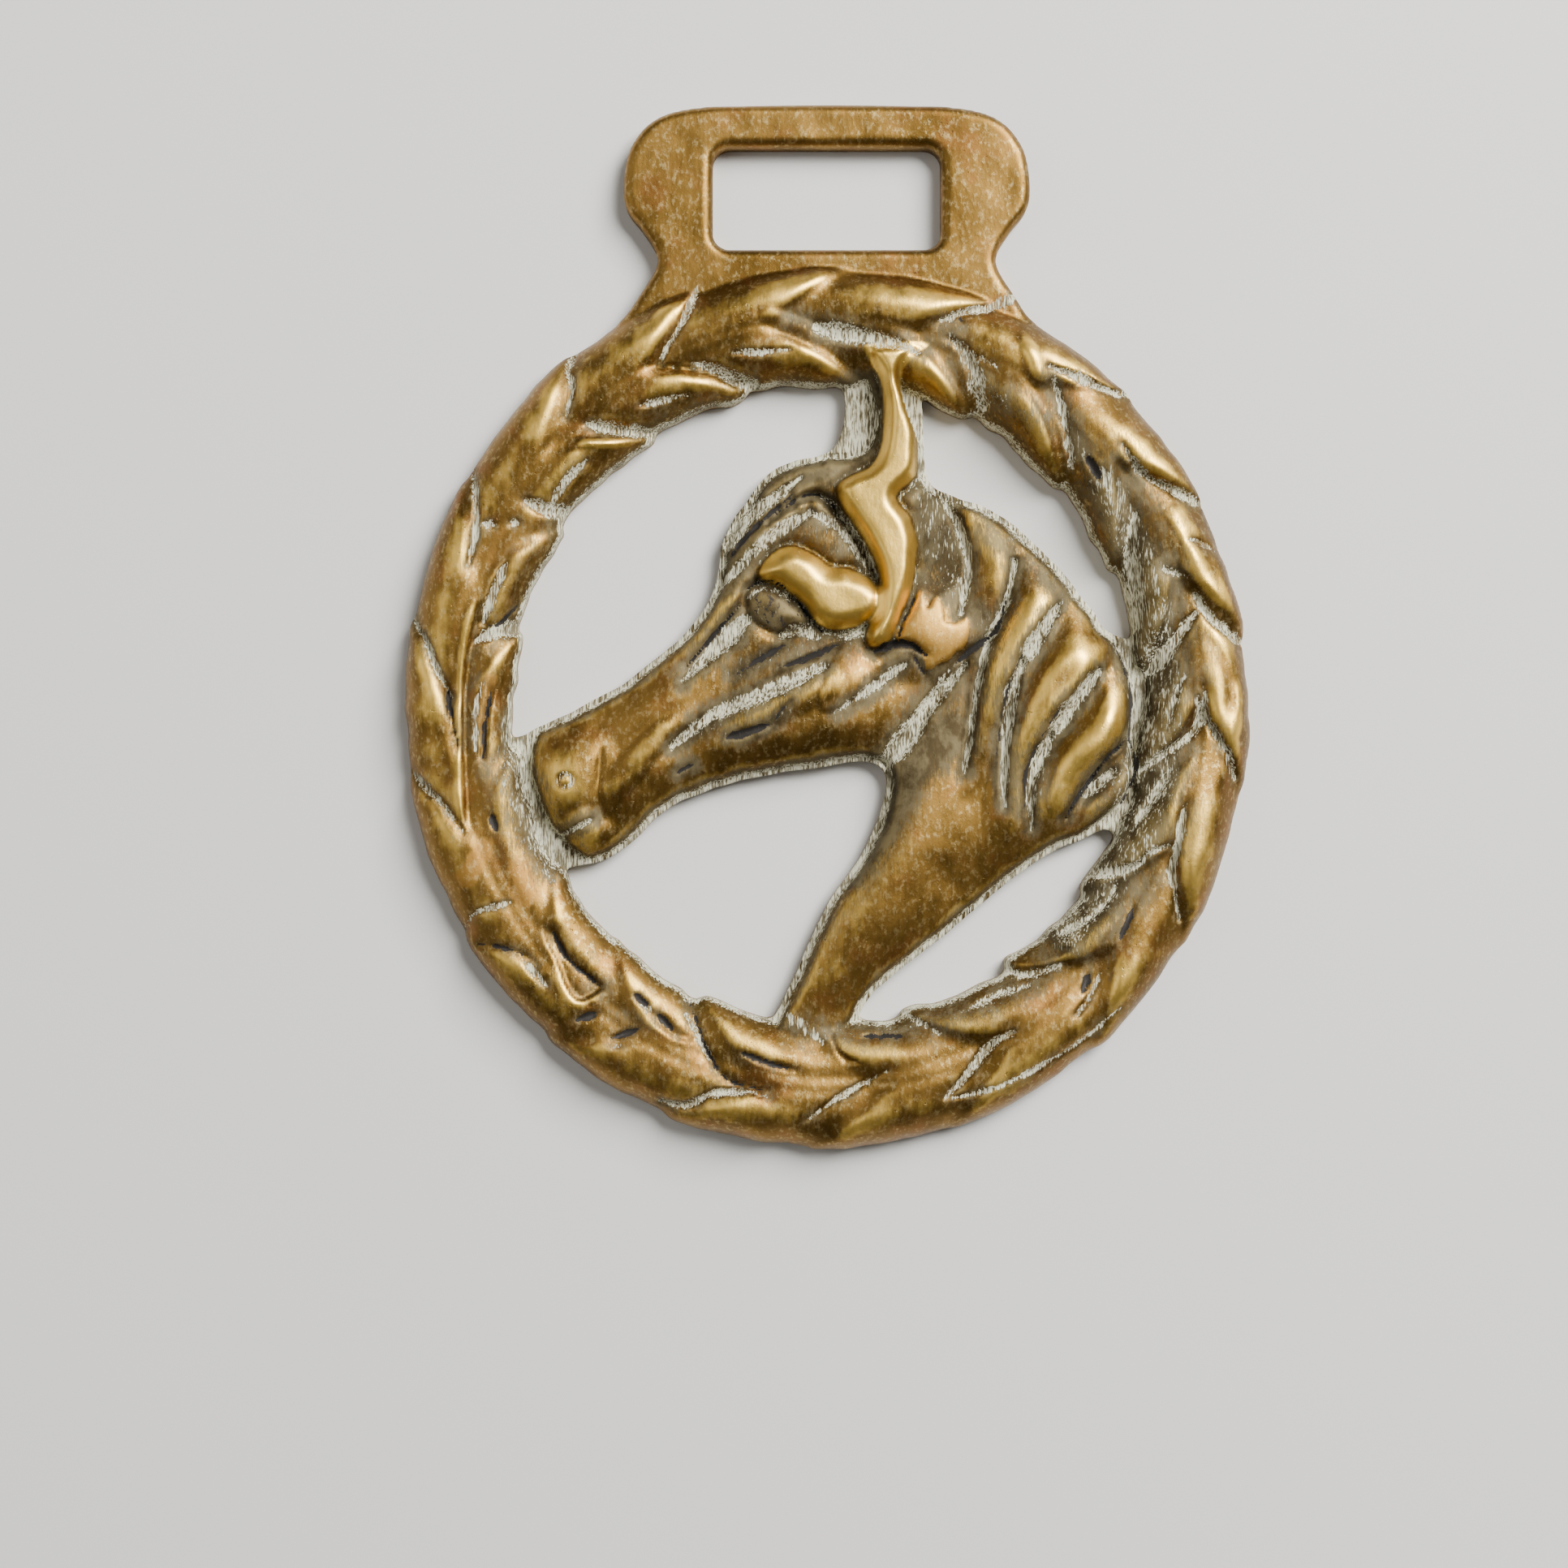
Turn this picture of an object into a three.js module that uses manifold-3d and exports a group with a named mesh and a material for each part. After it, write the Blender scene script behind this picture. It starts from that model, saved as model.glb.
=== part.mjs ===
// A horse brass: a horse's head in an open laurel wreath, with a slotted hanger
// above it for the strap. It is one flat-backed casting. It lies on its back in
// the XY plane, +Y towards the hanger and +Z out of the relief, in millimetres,
// with its origin on the back, at the middle of the wreath.

import * as THREE from 'three';
import { mergeVertices } from 'three/addons/utils/BufferGeometryUtils.js';
import Module from 'manifold-3d';

const wasm = await Module();
wasm.setup();

// ---- Driving dimensions ----

const RING_OUTER = 40.0;      // wreath's outer radius at its sides
const RING_INNER = 29.5;      // wreath's inner radius at its sides
const RING_CROWN = 5.2;       // height of the leaves over the back
const RING_EDGE = 1.5;        // height of the wreath's rim wall
const WEB = 1.8;              // thickness of the thin web behind the head
const FACE = 3.5;             // thickness of the head, before its modelling
const FACE_ROUND = 3.2;       // how far in from the outline the head rounds over
const HANGER_THICK = 2.8;
const SLOT_HALF_WIDTH = 10.7;
const SLOT_BOTTOM = 43.8;
const SLOT_TOP = 53.4;
const SLOT_CORNER = 1.6;

// The leaf pairs' tips, in degrees clockwise from the top, as they were carved.
const LEAF_TIPS = [4, 24, 44, 61, 80, 101, 123, 142, 164, 183, 203, 222, 241, 263, 284, 304, 326, 345];
const OUTER_LEAN = 11.7;      // degrees from the stem to an outer leaf's tip
const INNER_LEAN = 14.0;      // degrees from the stem to an inner leaf's tip
const STEPS_PER_LEAF = 6;

const RELIEF_CELL = 0.98;     // grid of the modelled relief
const RELIEF_REACH = 33.5;    // half the relief's square, out to under the wreath
const CUT_RADIUS = 33.0;      // openings reach this far, hidden under the wreath

// ---- Small helpers ----

const radians = (degrees) => degrees * Math.PI / 180;
const clamp01 = (value) => Math.min(1, Math.max(0, value));

// A soft bump: 1 at the middle, 0 from distance 1 outward.
const bump = (distance) => (1 - clamp01(distance) ** 2) ** 2;

function toManifold(geometry) {
  const bare = geometry.clone();
  bare.deleteAttribute('normal');
  bare.deleteAttribute('uv');
  const merged = mergeVertices(bare, 1e-4);
  return new wasm.Manifold(new wasm.Mesh({
    numProp: 3,
    vertProperties: new Float32Array(merged.attributes.position.array),
    triVerts: new Uint32Array(merged.index.array),
  }));
}

function toGeometry(solid) {
  const mesh = solid.getMesh();
  const geometry = new THREE.BufferGeometry();
  geometry.setAttribute('position', new THREE.BufferAttribute(mesh.vertProperties, 3));
  geometry.setIndex(new THREE.BufferAttribute(mesh.triVerts, 1));
  geometry.computeVertexNormals();
  return geometry;
}

const vectors = (points) => points.map(([x, y]) => new THREE.Vector2(x, y));

function extrude(shape, bottom, top) {
  const options = { depth: top - bottom, bevelEnabled: false, steps: 1, curveSegments: 6 };
  return new THREE.ExtrudeGeometry(shape, options).translate(0, 0, bottom);
}

// A point at an angle clockwise from the top of the wreath.
function onRing(degrees, radius) {
  const angle = radians(degrees);
  return [radius * Math.sin(angle), radius * Math.cos(angle)];
}

function arc(fromDegrees, toDegrees, radius, count) {
  const points = [];
  for (let i = 0; i <= count; i += 1) {
    points.push(onRing(fromDegrees + (toDegrees - fromDegrees) * i / count, radius));
  }
  return points;
}

// ---- The laurel wreath ----

// The wreath is slightly egg-shaped, fuller towards the hanger.
const outerRadius = (angle) => RING_OUTER + 0.85 + 0.95 * Math.cos(angle) + 0.85 * Math.cos(2 * angle);
const innerRadius = (angle) => RING_INNER + 0.35 + 1.2 * Math.cos(angle) + 0.35 * Math.cos(2 * angle);

// Half-round section: place across the band (-1 inner edge, 1 outer edge) and
// height as a share of the crown. The stem is the shallow valley in the middle.
const SECTION = [
  [-1, 0], [1, 0], [1, RING_EDGE / RING_CROWN], [0.88, 0.6], [0.62, 0.88], [0.36, 1],
  [0.12, 0.94], [-0.02, 0.86], [-0.2, 0.92], [-0.5, 0.9], [-0.82, 0.64], [-1, RING_EDGE / RING_CROWN],
];

// A leaf rises from the crease behind it and drops at its tip.
const LEAF_LIFT = [0, 0.62, 0.88, 1, 1, 0.86];
const CREASE_DEPTH = 1.25;
const TIP_FLARE = 0.75;       // how far a leaf's tip stands out of the outline

function tipAngle(leaf) {
  const turns = Math.floor(leaf / LEAF_TIPS.length);
  return LEAF_TIPS[leaf - turns * LEAF_TIPS.length] + 360 * turns;
}

function makeWreath() {
  const profile = vectors([...SECTION, SECTION[0]].map(([across, height]) => [2 + across, height]));
  profile.reverse();
  const steps = LEAF_TIPS.length * STEPS_PER_LEAF;
  const geometry = new THREE.LatheGeometry(profile, steps);
  const position = geometry.attributes.position;
  for (let i = 0; i < position.count; i += 1) {
    const step = Math.floor(i / profile.length) % steps;
    const across = profile[i % profile.length].x - 2;
    const share = position.getY(i);
    const leaf = Math.floor(step / STEPS_PER_LEAF);
    const phase = step % STEPS_PER_LEAF;
    const here = tipAngle(leaf);
    const along = here + (tipAngle(leaf + 1) - here) * phase / STEPS_PER_LEAF;
    const lean = across > 0 ? OUTER_LEAN : INNER_LEAN;
    const angle = radians(along - OUTER_LEAN + Math.abs(across) * lean);
    const lift = LEAF_LIFT[phase];
    const flare = (phase / STEPS_PER_LEAF - 0.5) * TIP_FLARE;
    const middle = (outerRadius(angle) + innerRadius(angle)) / 2;
    const half = (outerRadius(angle) - innerRadius(angle) + flare) / 2;
    const radius = middle + across * half;
    const height = share * RING_CROWN;
    const relief = height > RING_EDGE ? (1 - lift) * CREASE_DEPTH : 0;
    position.setXYZ(i, radius * Math.sin(angle), radius * Math.cos(angle), height - relief);
  }
  return toManifold(geometry);
}

// ---- The horse's head ----

// The head's outline, from the ear's root round the face, jaw, neck and mane.
const HEAD_OUTLINE = [
  [3.6, 31.5], [4.6, 28.5], [3.9, 25.2], [1.7, 24.3], [-0.8, 24.4], [-3.2, 23.9], [-6.1, 22.2],
  [-8.5, 18.9], [-9.8, 16.1], [-10.5, 12.6], [-12.7, 8.5], [-18.2, 3.8], [-23.4, 0.8], [-26.6, -0.9],
  [-27.7, -4.2], [-26.6, -8.4], [-24.9, -11.2], [-22.2, -13.2], [-19.3, -12.8], [-16.4, -9.9],
  [-11.5, -6.9], [-3.8, -5.3], [2.7, -4.2], [5.4, -5.1], [5.4, -9], [0.2, -17.4], [-3.1, -24.6],
  [-5.4, -30.5], [2.4, -30.5], [4.6, -25.6], [11.7, -19.8], [19, -13.9], [24.2, -10.6], [28.2, -7],
  [28.5, -1.5], [28.2, 4.4], [24.3, 10.9], [19.6, 16.2], [14.7, 19.8], [9.4, 21.8], [8.5, 25.4],
  [6.8, 29.6], [7.8, 32.5],
];

// Openings between the head and the wreath: the head's side of each, then the
// wreath's side as an arc hidden under the leaves.
const OPENINGS = {
  brow: {
    side: [[1.6, 31], [1.7, 28.4], [0.9, 25.5], [-0.8, 24.5], [-3.2, 24], [-6.1, 22.2], [-8.5, 18.8],
      [-9.8, 16.2], [-10.3, 12.7], [-12.7, 8.5], [-18.3, 3.8], [-23.4, 0.8], [-27.7, -1.4]],
    ring: [268, 362],
  },
  poll: {
    side: [[28.2, 7.5], [26.4, 8.1], [24.3, 10.9], [19.6, 16.2], [14.7, 19.8], [9.7, 21.7],
      [9.1, 26.1], [8.9, 29.6]],
    ring: [16, 74],
  },
  throat: {
    side: [[-25, -14.1], [-21, -13.4], [-18.1, -11.5], [-14.4, -8.2], [-8.1, -5.9], [-1.7, -4.8],
      [4.2, -4.2], [5.6, -6.4], [4.1, -11.3], [0.2, -17.4], [-3.2, -24.6], [-5.4, -27.9]],
    ring: [193, 239],
  },
  nape: {
    side: [[2.9, -28.6], [4.6, -25.6], [11.7, -19.8], [19, -13.9], [24.6, -10.9]],
    ring: [115, 174],
  },
};

// Rounded masses: middle, half-length, half-width, turn in degrees, height.
const MASSES = {
  muzzle: [-23.2, -6.6, 7.2, 5.0, 78, 1.3],
  chin: [-21.8, -11.2, 2.6, 2.2, 30, 0.5],
  noseBone: [-15.6, -0.4, 9.5, 4.4, 37, 1.0],
  jowl: [0.2, 0.4, 9.5, 5.6, 14, 1.1],
  jaw: [-8.0, -2.6, 8.0, 3.0, 12, 0.8],
  browBone: [-0.6, 12.0, 6.2, 3.4, -14, 1.7],
  eye: [-4.9, 9.9, 2.3, 1.9, -20, 0.9],
  forehead: [-5.2, 18.4, 7.0, 2.6, 52, 0.8],
  forelock: [2.2, 21.2, 4.6, 3.0, -35, 0.9],
  neck: [6.0, -13.8, 15.0, 6.2, 56, 1.1],
  nape: [16.5, -10.4, 7.5, 4.5, 38, 0.8],
};

// Long raised forms: height, half-width, then the line that they follow.
const RIDGES = {
  ear: [1.6, 2.6, [[5.8, 33], [6.8, 28.6], [6.9, 25], [5.2, 21], [5.6, 17], [6.6, 14], [6, 8.4]]],
  earLobe: [1.0, 2.6, [[2.6, 20.8], [5.4, 20.2], [7.4, 16.4], [6.6, 11.6]]],
  cheekBone: [1.1, 2.4, [[4.2, 5.6], [0.2, 3.8], [-6.8, 0.2]]],
  lockPoll: [0.8, 1.9, [[14.6, 18], [15, 12.8], [13.4, 7.4]]],
  lockHigh: [1.1, 2.1, [[19.2, 14.6], [18.8, 10.6], [16.4, 6.2], [15.2, 1.6], [14.8, -5]]],
  lockMiddle: [1.3, 2.2, [[23.3, 8.4], [21.8, 4.2], [19.2, 0.4], [17.8, -3.6], [17.6, -9]]],
  lockLow: [1.4, 2.2, [[26.6, 2.4], [24.6, -1.5], [21.9, -4.8], [20.6, -9]]],
  lockLast: [1.0, 1.6, [[27.8, -4.4], [25.8, -7.2], [23.8, -9]]],
};

// Carved hollows: depth, half-width, then the line that they follow.
const GROOVES = {
  jawLine: [1.2, 1.6, [[5.6, -3.4], [9.6, 1.4], [12.6, 4.4], [15.4, 7.6]]],
  socket: [1.0, 1.5, [[-8.4, 15], [-3.4, 19.4], [1.2, 18.6], [4, 14.6]]],
  nose: [0.9, 1.3, [[-13.4, 3.6], [-9.6, 7.4], [-6.8, 10]]],
  underEye: [0.9, 1.2, [[-8.8, 3.4], [-3.6, 7.2], [3.6, 8.6]]],
  cheek: [0.8, 1.3, [[-14, -2.4], [-9, 1.2], [-1, 4.6]]],
  mouth: [0.7, 1.0, [[-24.6, -11.4], [-21.6, -9.4]]],
  behindEar: [1.1, 1.8, [[10, 20.4], [10.6, 16], [10.4, 11.6]]],
};

const samples = (points, count, closed = false) => {
  const line = points.map(([x, y]) => new THREE.Vector3(x, y, 0));
  return new THREE.CatmullRomCurve3(line, closed, 'centripetal').getSpacedPoints(count);
};

// Distance from a point to a sampled line, and how far along it that is, 0 to 1.
function nearest(line, x, y) {
  let best = Infinity;
  let along = 0;
  for (let i = 0; i + 1 < line.length; i += 1) {
    const dx = line[i + 1].x - line[i].x;
    const dy = line[i + 1].y - line[i].y;
    const share = clamp01(((x - line[i].x) * dx + (y - line[i].y) * dy) / (dx * dx + dy * dy));
    const distance = Math.hypot(x - line[i].x - share * dx, y - line[i].y - share * dy);
    if (distance < best) {
      best = distance;
      along = (i + share) / (line.length - 1);
    }
  }
  return [best, along];
}

function isInside(line, x, y) {
  let inside = false;
  for (let i = 0; i + 1 < line.length; i += 1) {
    const a = line[i];
    const b = line[i + 1];
    if ((a.y > y) !== (b.y > y) && x < a.x + (b.x - a.x) * (y - a.y) / (b.y - a.y)) {
      inside = !inside;
    }
  }
  return inside;
}

const headLine = samples(HEAD_OUTLINE, 160, true);
const sampled = (table) => Object.values(table).map(([size, half, line]) => [size, half, samples(line, 14)]);
const ridgeLines = sampled(RIDGES);
const grooveLines = sampled(GROOVES);

// Height of the relief over the back, inside the wreath. Beside the head it
// drops below the web's surface, and the web plate covers it.
function reliefHeight(x, y) {
  if (!isInside(headLine, x, y)) {
    return WEB / 2;
  }
  const [depth] = nearest(headLine, x, y);
  const rise = clamp01(depth / FACE_ROUND);
  const round = Math.sqrt(1 - (1 - rise) ** 2);
  let height = 0;
  for (const [middleX, middleY, long, wide, turn, size] of Object.values(MASSES)) {
    const cos = Math.cos(radians(turn));
    const sin = Math.sin(radians(turn));
    const along = ((x - middleX) * cos + (y - middleY) * sin) / long;
    const across = ((y - middleY) * cos - (x - middleX) * sin) / wide;
    height += size * bump(Math.hypot(along, across));
  }
  for (const [size, half, line] of ridgeLines) {
    const [distance, along] = nearest(line, x, y);
    const taper = 1 - 0.45 * (2 * along - 1) ** 2;
    height += size * taper * bump(distance / half);
  }
  for (const [size, half, line] of grooveLines) {
    height -= size * bump(nearest(line, x, y)[0] / half);
  }
  return WEB + (FACE - WEB + height) * round;
}

function makeOpening({ side, ring }) {
  const headSide = samples(side, side.length * 2).map((point) => [point.x, point.y]);
  const wreathSide = arc(ring[0], ring[1], CUT_RADIUS, Math.ceil((ring[1] - ring[0]) / 8));
  const shape = new THREE.Shape(vectors([...headSide, ...wreathSide]));
  return toManifold(extrude(shape, -1, 2 * RING_CROWN));
}

// Turns each cell's diagonal to run along the forms rather than across them.
function followForms(geometry, cells) {
  const { index, attributes: { position } } = geometry;
  const height = (vertex) => position.getZ(vertex);
  const top = geometry.groups[4];
  for (let i = top.start; i < top.start + 6 * cells * cells; i += 6) {
    const [a, b, d, , c] = index.array.slice(i, i + 5);
    if (Math.abs(height(a) - height(c)) < Math.abs(height(b) - height(d))) {
      index.array.set([a, b, c, a, c, d], i);
    }
  }
}

function makeHead() {
  const cells = Math.round(2 * RELIEF_REACH / RELIEF_CELL);
  const slab = new THREE.BoxGeometry(2 * RELIEF_REACH, 2 * RELIEF_REACH, 2, cells, cells, 1);
  const position = slab.attributes.position;
  for (let i = 0; i < position.count; i += 1) {
    if (position.getZ(i) > 0) {
      position.setZ(i, reliefHeight(position.getX(i), position.getY(i)));
    }
  }
  followForms(slab, cells);
  const disc = new THREE.Shape(vectors(arc(0, 350, CUT_RADIUS - 0.4, 35)));
  const relief = toManifold(slab).intersect(toManifold(extrude(disc, 0, 2 * RING_CROWN)));
  let head = relief.add(toManifold(extrude(disc, 0, WEB)));
  for (const opening of Object.values(OPENINGS)) {
    head = head.subtract(makeOpening(opening));
  }
  return head;
}

// ---- The hanger ----

// Right half of the hanger's outline, from under the wreath up to its top bar.
const HANGER_SIDE = [
  [19.4, 36.5], [17.6, 39.4], [16, 42], [16, 43.6], [17.2, 45.6], [18.7, 47.6], [19, 50],
  [18.3, 53.4], [16, 56], [12, 57.2], [5, 57.4],
];

function makeHanger() {
  const leftSide = HANGER_SIDE.map(([x, y]) => [-x, y]).reverse();
  const outline = [...HANGER_SIDE, ...leftSide].map(([x, y]) => new THREE.Vector3(x, y, 0));
  const curve = new THREE.CatmullRomCurve3(outline);
  const shape = new THREE.Shape(vectors(curve.getPoints(44).map((point) => [point.x, point.y])));
  const side = SLOT_HALF_WIDTH;
  const corner = SLOT_HALF_WIDTH - SLOT_CORNER;
  const slot = new THREE.Path();
  slot.moveTo(-corner, SLOT_BOTTOM);
  slot.lineTo(corner, SLOT_BOTTOM);
  slot.quadraticCurveTo(side, SLOT_BOTTOM, side, SLOT_BOTTOM + SLOT_CORNER);
  slot.lineTo(side, SLOT_TOP - SLOT_CORNER);
  slot.quadraticCurveTo(side, SLOT_TOP, corner, SLOT_TOP);
  slot.lineTo(-corner, SLOT_TOP);
  slot.quadraticCurveTo(-side, SLOT_TOP, -side, SLOT_TOP - SLOT_CORNER);
  slot.lineTo(-side, SLOT_BOTTOM + SLOT_CORNER);
  slot.quadraticCurveTo(-side, SLOT_BOTTOM, -corner, SLOT_BOTTOM);
  shape.holes.push(slot);
  return toManifold(extrude(shape, 0, HANGER_THICK));
}

// ---- The casting ----

const casting = makeWreath().add(makeHead()).add(makeHanger());

const brass = new THREE.MeshStandardMaterial({ color: 0xb58a45, roughness: 0.38, metalness: 1 });
const horseBrass = new THREE.Mesh(toGeometry(casting), brass);
horseBrass.name = 'horse_brass';

const group = new THREE.Group();
group.add(horseBrass);

export default group;
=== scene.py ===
# %% [markdown]
# # A cast horse brass
# The brass is one casting: a laurel wreath round a horse's head, under a plain hanger.
# The workshop solid gives its size and place. A face could be sculpted by hand on top of it,
# but here it is carved by rule, from named curves, so that every cut can be found and changed.

# %% Load the frame
from math import atan, radians

import bmesh
import bpy
import numpy as np
from mathutils import Matrix, Vector


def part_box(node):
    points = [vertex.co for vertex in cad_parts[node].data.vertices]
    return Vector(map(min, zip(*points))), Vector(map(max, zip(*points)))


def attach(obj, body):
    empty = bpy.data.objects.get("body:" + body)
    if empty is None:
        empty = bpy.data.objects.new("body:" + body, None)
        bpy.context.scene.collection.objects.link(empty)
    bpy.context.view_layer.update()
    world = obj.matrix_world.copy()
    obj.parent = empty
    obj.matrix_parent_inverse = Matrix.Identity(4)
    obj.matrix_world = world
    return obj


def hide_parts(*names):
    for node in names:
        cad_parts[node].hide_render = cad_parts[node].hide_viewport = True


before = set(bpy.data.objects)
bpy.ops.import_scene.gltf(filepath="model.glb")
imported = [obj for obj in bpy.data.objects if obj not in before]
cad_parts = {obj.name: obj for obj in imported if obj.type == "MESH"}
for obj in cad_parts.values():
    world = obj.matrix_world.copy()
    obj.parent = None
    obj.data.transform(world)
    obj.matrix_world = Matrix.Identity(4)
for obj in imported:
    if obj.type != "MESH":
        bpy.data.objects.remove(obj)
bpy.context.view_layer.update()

RING_WIDTH = 80.0
low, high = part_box("horse_brass")
MM = (high.x-low.x)/RING_WIDTH
print("one millimetre of the drawing is", round(MM, 6), "m")

# %% [markdown]
# ## The carver's board
# The face of a brass has no undercuts, so its pattern can be held as one height for each point
# of a fine square board. Numpy works the whole board at once, which a mesh of the same
# fineness couldn't do as fast. All sizes are millimetres, with the wreath's middle at zero.

# %% Carver's board
BOARD = 0.16
BOARD_SIDE = 42.4
BOARD_TOP = 58.6
across = np.arange(-BOARD_SIDE, BOARD_SIDE, BOARD)
upward = np.arange(-BOARD_SIDE, BOARD_TOP, BOARD)
X, Y = np.meshgrid(across, upward)
RADIUS = np.hypot(X, Y)
CLOCK = np.arctan2(X, Y)
print("board of", X.shape[1], "by", X.shape[0], "points")


# %% Curves
def smooth_line(points, closed=False, steps=8):
    """A smooth curve through a few points."""
    ring = np.array(points, float)
    if closed:
        padded = np.vstack([ring[-1], ring, ring[0], ring[1]])
    else:
        padded = np.vstack([2*ring[0]-ring[1], ring, 2*ring[-1]-ring[-2]])
    curve = []
    for a, b, c, d in zip(padded, padded[1:], padded[2:], padded[3:]):
        for u in np.arange(steps)/steps:
            curve.append(0.5*(2*b+(c-a)*u+(2*a-5*b+4*c-d)*u**2+(3*b-a-3*c+d)*u**3))
    curve.append(curve[0] if closed else ring[-1])
    return np.array(curve)


def measure(line, x, y):
    """How far points are from a line, how far along it, and on which side: 1 is its left."""
    best = np.full(x.shape, np.inf)
    along = np.zeros(x.shape)
    side = np.ones(x.shape)
    lengths = np.hypot(*np.diff(line, axis=0).T)
    start = np.r_[0, np.cumsum(lengths)]
    for a, b, length, begun in zip(line, line[1:], lengths, start):
        step = b-a
        share = np.clip(((x-a[0])*step[0]+(y-a[1])*step[1])/(length**2+1e-12), 0, 1)
        gap = np.hypot(x-a[0]-share*step[0], y-a[1]-share*step[1])
        closer = gap < best
        best[closer] = gap[closer]
        along[closer] = (begun+share*length)[closer]/start[-1]
        left = np.sign(step[0]*(y-a[1])-step[1]*(x-a[0]))
        side[closer] = left[closer]
    return best, along, side


def depth_inside(line, x, y):
    """How deep points lie inside a closed line. Outside it the depth is negative."""
    inside = np.zeros(x.shape, bool)
    for (x0, y0), (x1, y1) in zip(line, line[1:]):
        if y0 != y1:
            crosses = (y0 > y) != (y1 > y)
            inside ^= crosses & (x < x0+(x1-x0)*(y-y0)/(y1-y0))
    gap = measure(line, x, y)[0]
    return np.where(inside, gap, -gap)


def near(line, reach):
    """The patch of the board round a line, so that only that patch is worked."""
    (x0, y0), (x1, y1) = line.min(axis=0)-reach, line.max(axis=0)+reach
    columns = np.nonzero((across > x0) & (across < x1))[0]
    rows = np.nonzero((upward > y0) & (upward < y1))[0]
    return np.s_[rows[0]:rows[-1]+1, columns[0]:columns[-1]+1]


# %% Blends
def ramp(low, high, value):
    share = np.clip((value-low)/(high-low), 0, 1)
    return share*share*(3-2*share)


def dome(share):
    """The quarter round that rises from 0 at an edge to 1."""
    return np.sqrt(1-(1-np.clip(share, 0, 1))**2)


def soft_max(a, b, blend):
    mix = np.clip(0.5+0.5*(a-b)/blend, 0, 1)
    return b+(a-b)*mix+blend*mix*(1-mix)


def soft_min(a, b, blend):
    return -soft_max(-a, -b, blend)


def blur(field, reach, reach_up=None):
    """A soft copy of a field, averaged over so many millimetres."""
    for axis, size in ((1, reach), (0, reach_up or reach)):
        half = int(np.ceil(3*size/BOARD))
        kernel = np.exp(-0.5*(np.arange(-half, half+1)*BOARD/size)**2)
        kernel /= kernel.sum()
        edges = [(half, half) if a == axis else (0, 0) for a in (0, 1)]
        padded = np.pad(field, edges, mode="edge")
        length = field.shape[axis]
        total = np.zeros(field.shape)
        for k, share in enumerate(kernel):
            total += share*(padded[:, k:k+length] if axis else padded[k:k+length])
        field = total
    return field


def unevenness(seed, reach, reach_up=None):
    """A smooth random field with a spread of 1, the same each time."""
    rough = blur(np.random.default_rng(seed).normal(size=X.shape), reach, reach_up)
    return rough/rough.std()


WOBBLE = unevenness(3, 0.7)
SWELL = unevenness(5, 3.0)
BRUSHED = unevenness(7, 0.2, 0.5)
print("wobble reaches", round(float(WOBBLE.max()), 1), "times its spread")

# %% [markdown]
# ## The wreath's band
# Eighteen pairs of leaves point clockwise, and the tip of each pair shows at the rim as a small
# step. A founder's pattern is cut by hand, so the tips stand at their own angles, and the band
# is a little taller at the top than at the foot. Its two rims are a plain formula in the angle.

# %% Wreath's band
LEAF_TIPS = [4, 24, 44, 61, 80, 101, 123, 142, 164, 183, 203, 222, 240, 263, 284, 304, 326, 345]
OUTER_LEAN = 11
INNER_LEAN = 13.5


def egg(mean, top_heavy, tall):
    """A rim's radius all round: it reaches further at the top, and is taller than it is wide."""
    return mean+top_heavy*np.cos(CLOCK)+tall*np.cos(2*CLOCK)


outer_rim = egg(40.35, 0.95, 0.85)
inner_rim = egg(29.7, 1.3, 0.3)
half_band = (outer_rim-inner_rim)/2
BAND = np.clip((RADIUS-(outer_rim+inner_rim)/2)/half_band, -1.4, 1.4)
lean = np.where(BAND > 0, -OUTER_LEAN*(1-BAND), -OUTER_LEAN-INNER_LEAN*BAND)
# Each leaf runs from one crease to the next: its share is 0 at the first and 1 at the next.
turned = (np.degrees(CLOCK)-lean) % 360
tips = np.array(LEAF_TIPS+[LEAF_TIPS[0]+360], float)
turned = np.where(turned < tips[0], turned+360, turned)
leaf = np.clip(np.searchsorted(tips, turned, side="right")-1, 0, len(LEAF_TIPS)-1)
LEAF_SHARE = (turned-tips[leaf])/(tips[leaf+1]-tips[leaf])
TIP_STEP = 0.35
tooth = blur(ramp(0, 0.9, LEAF_SHARE)-ramp(0.92, 1.0, LEAF_SHARE)-0.5, 0.4)
ring_depth = outer_rim+TIP_STEP*tooth+0.06*WOBBLE-RADIUS
bore_depth = RADIUS-(inner_rim-0.7*tooth+0.08*WOBBLE)
print("leaf pairs:", len(LEAF_TIPS))

# %% [markdown]
# ## The pierced openings and the hanger
# Four openings let the strap show through behind the head. Each is bounded by the head's own
# outline on one side and by the wreath on the other, so only the head's side is drawn.
# The hanger is a flat loop with a square slot for the strap. Its top was never in sight, so it
# is kept to the plainest common form.

# %% Openings
BROW_GAP = [(1.6, 32.5), (1.7, 28.4), (0.9, 25.5), (-0.8, 24.5), (-3.2, 24.0), (-6.1, 22.2),
            (-8.5, 18.8), (-9.8, 16.2), (-10.3, 12.7), (-12.7, 8.5), (-18.3, 3.8), (-23.4, 0.8),
            (-28.2, -1.5)]
POLL_GAP = [(30, 6.9), (26.4, 8.1), (24.3, 10.9), (19.6, 16.2), (14.7, 19.8), (9.9, 21.7),
            (9.1, 26.1), (8.9, 31.5)]
THROAT_GAP = [(-26.5, -14.3), (-21, -13.4), (-18.1, -11.5), (-14.4, -8.2), (-8.1, -5.9),
              (-1.7, -4.8), (3.6, -4.2), (5.6, -6.0), (4.1, -11.3), (0.2, -17.4), (-3.2, -24.6),
              (-6.0, -30)]
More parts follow.
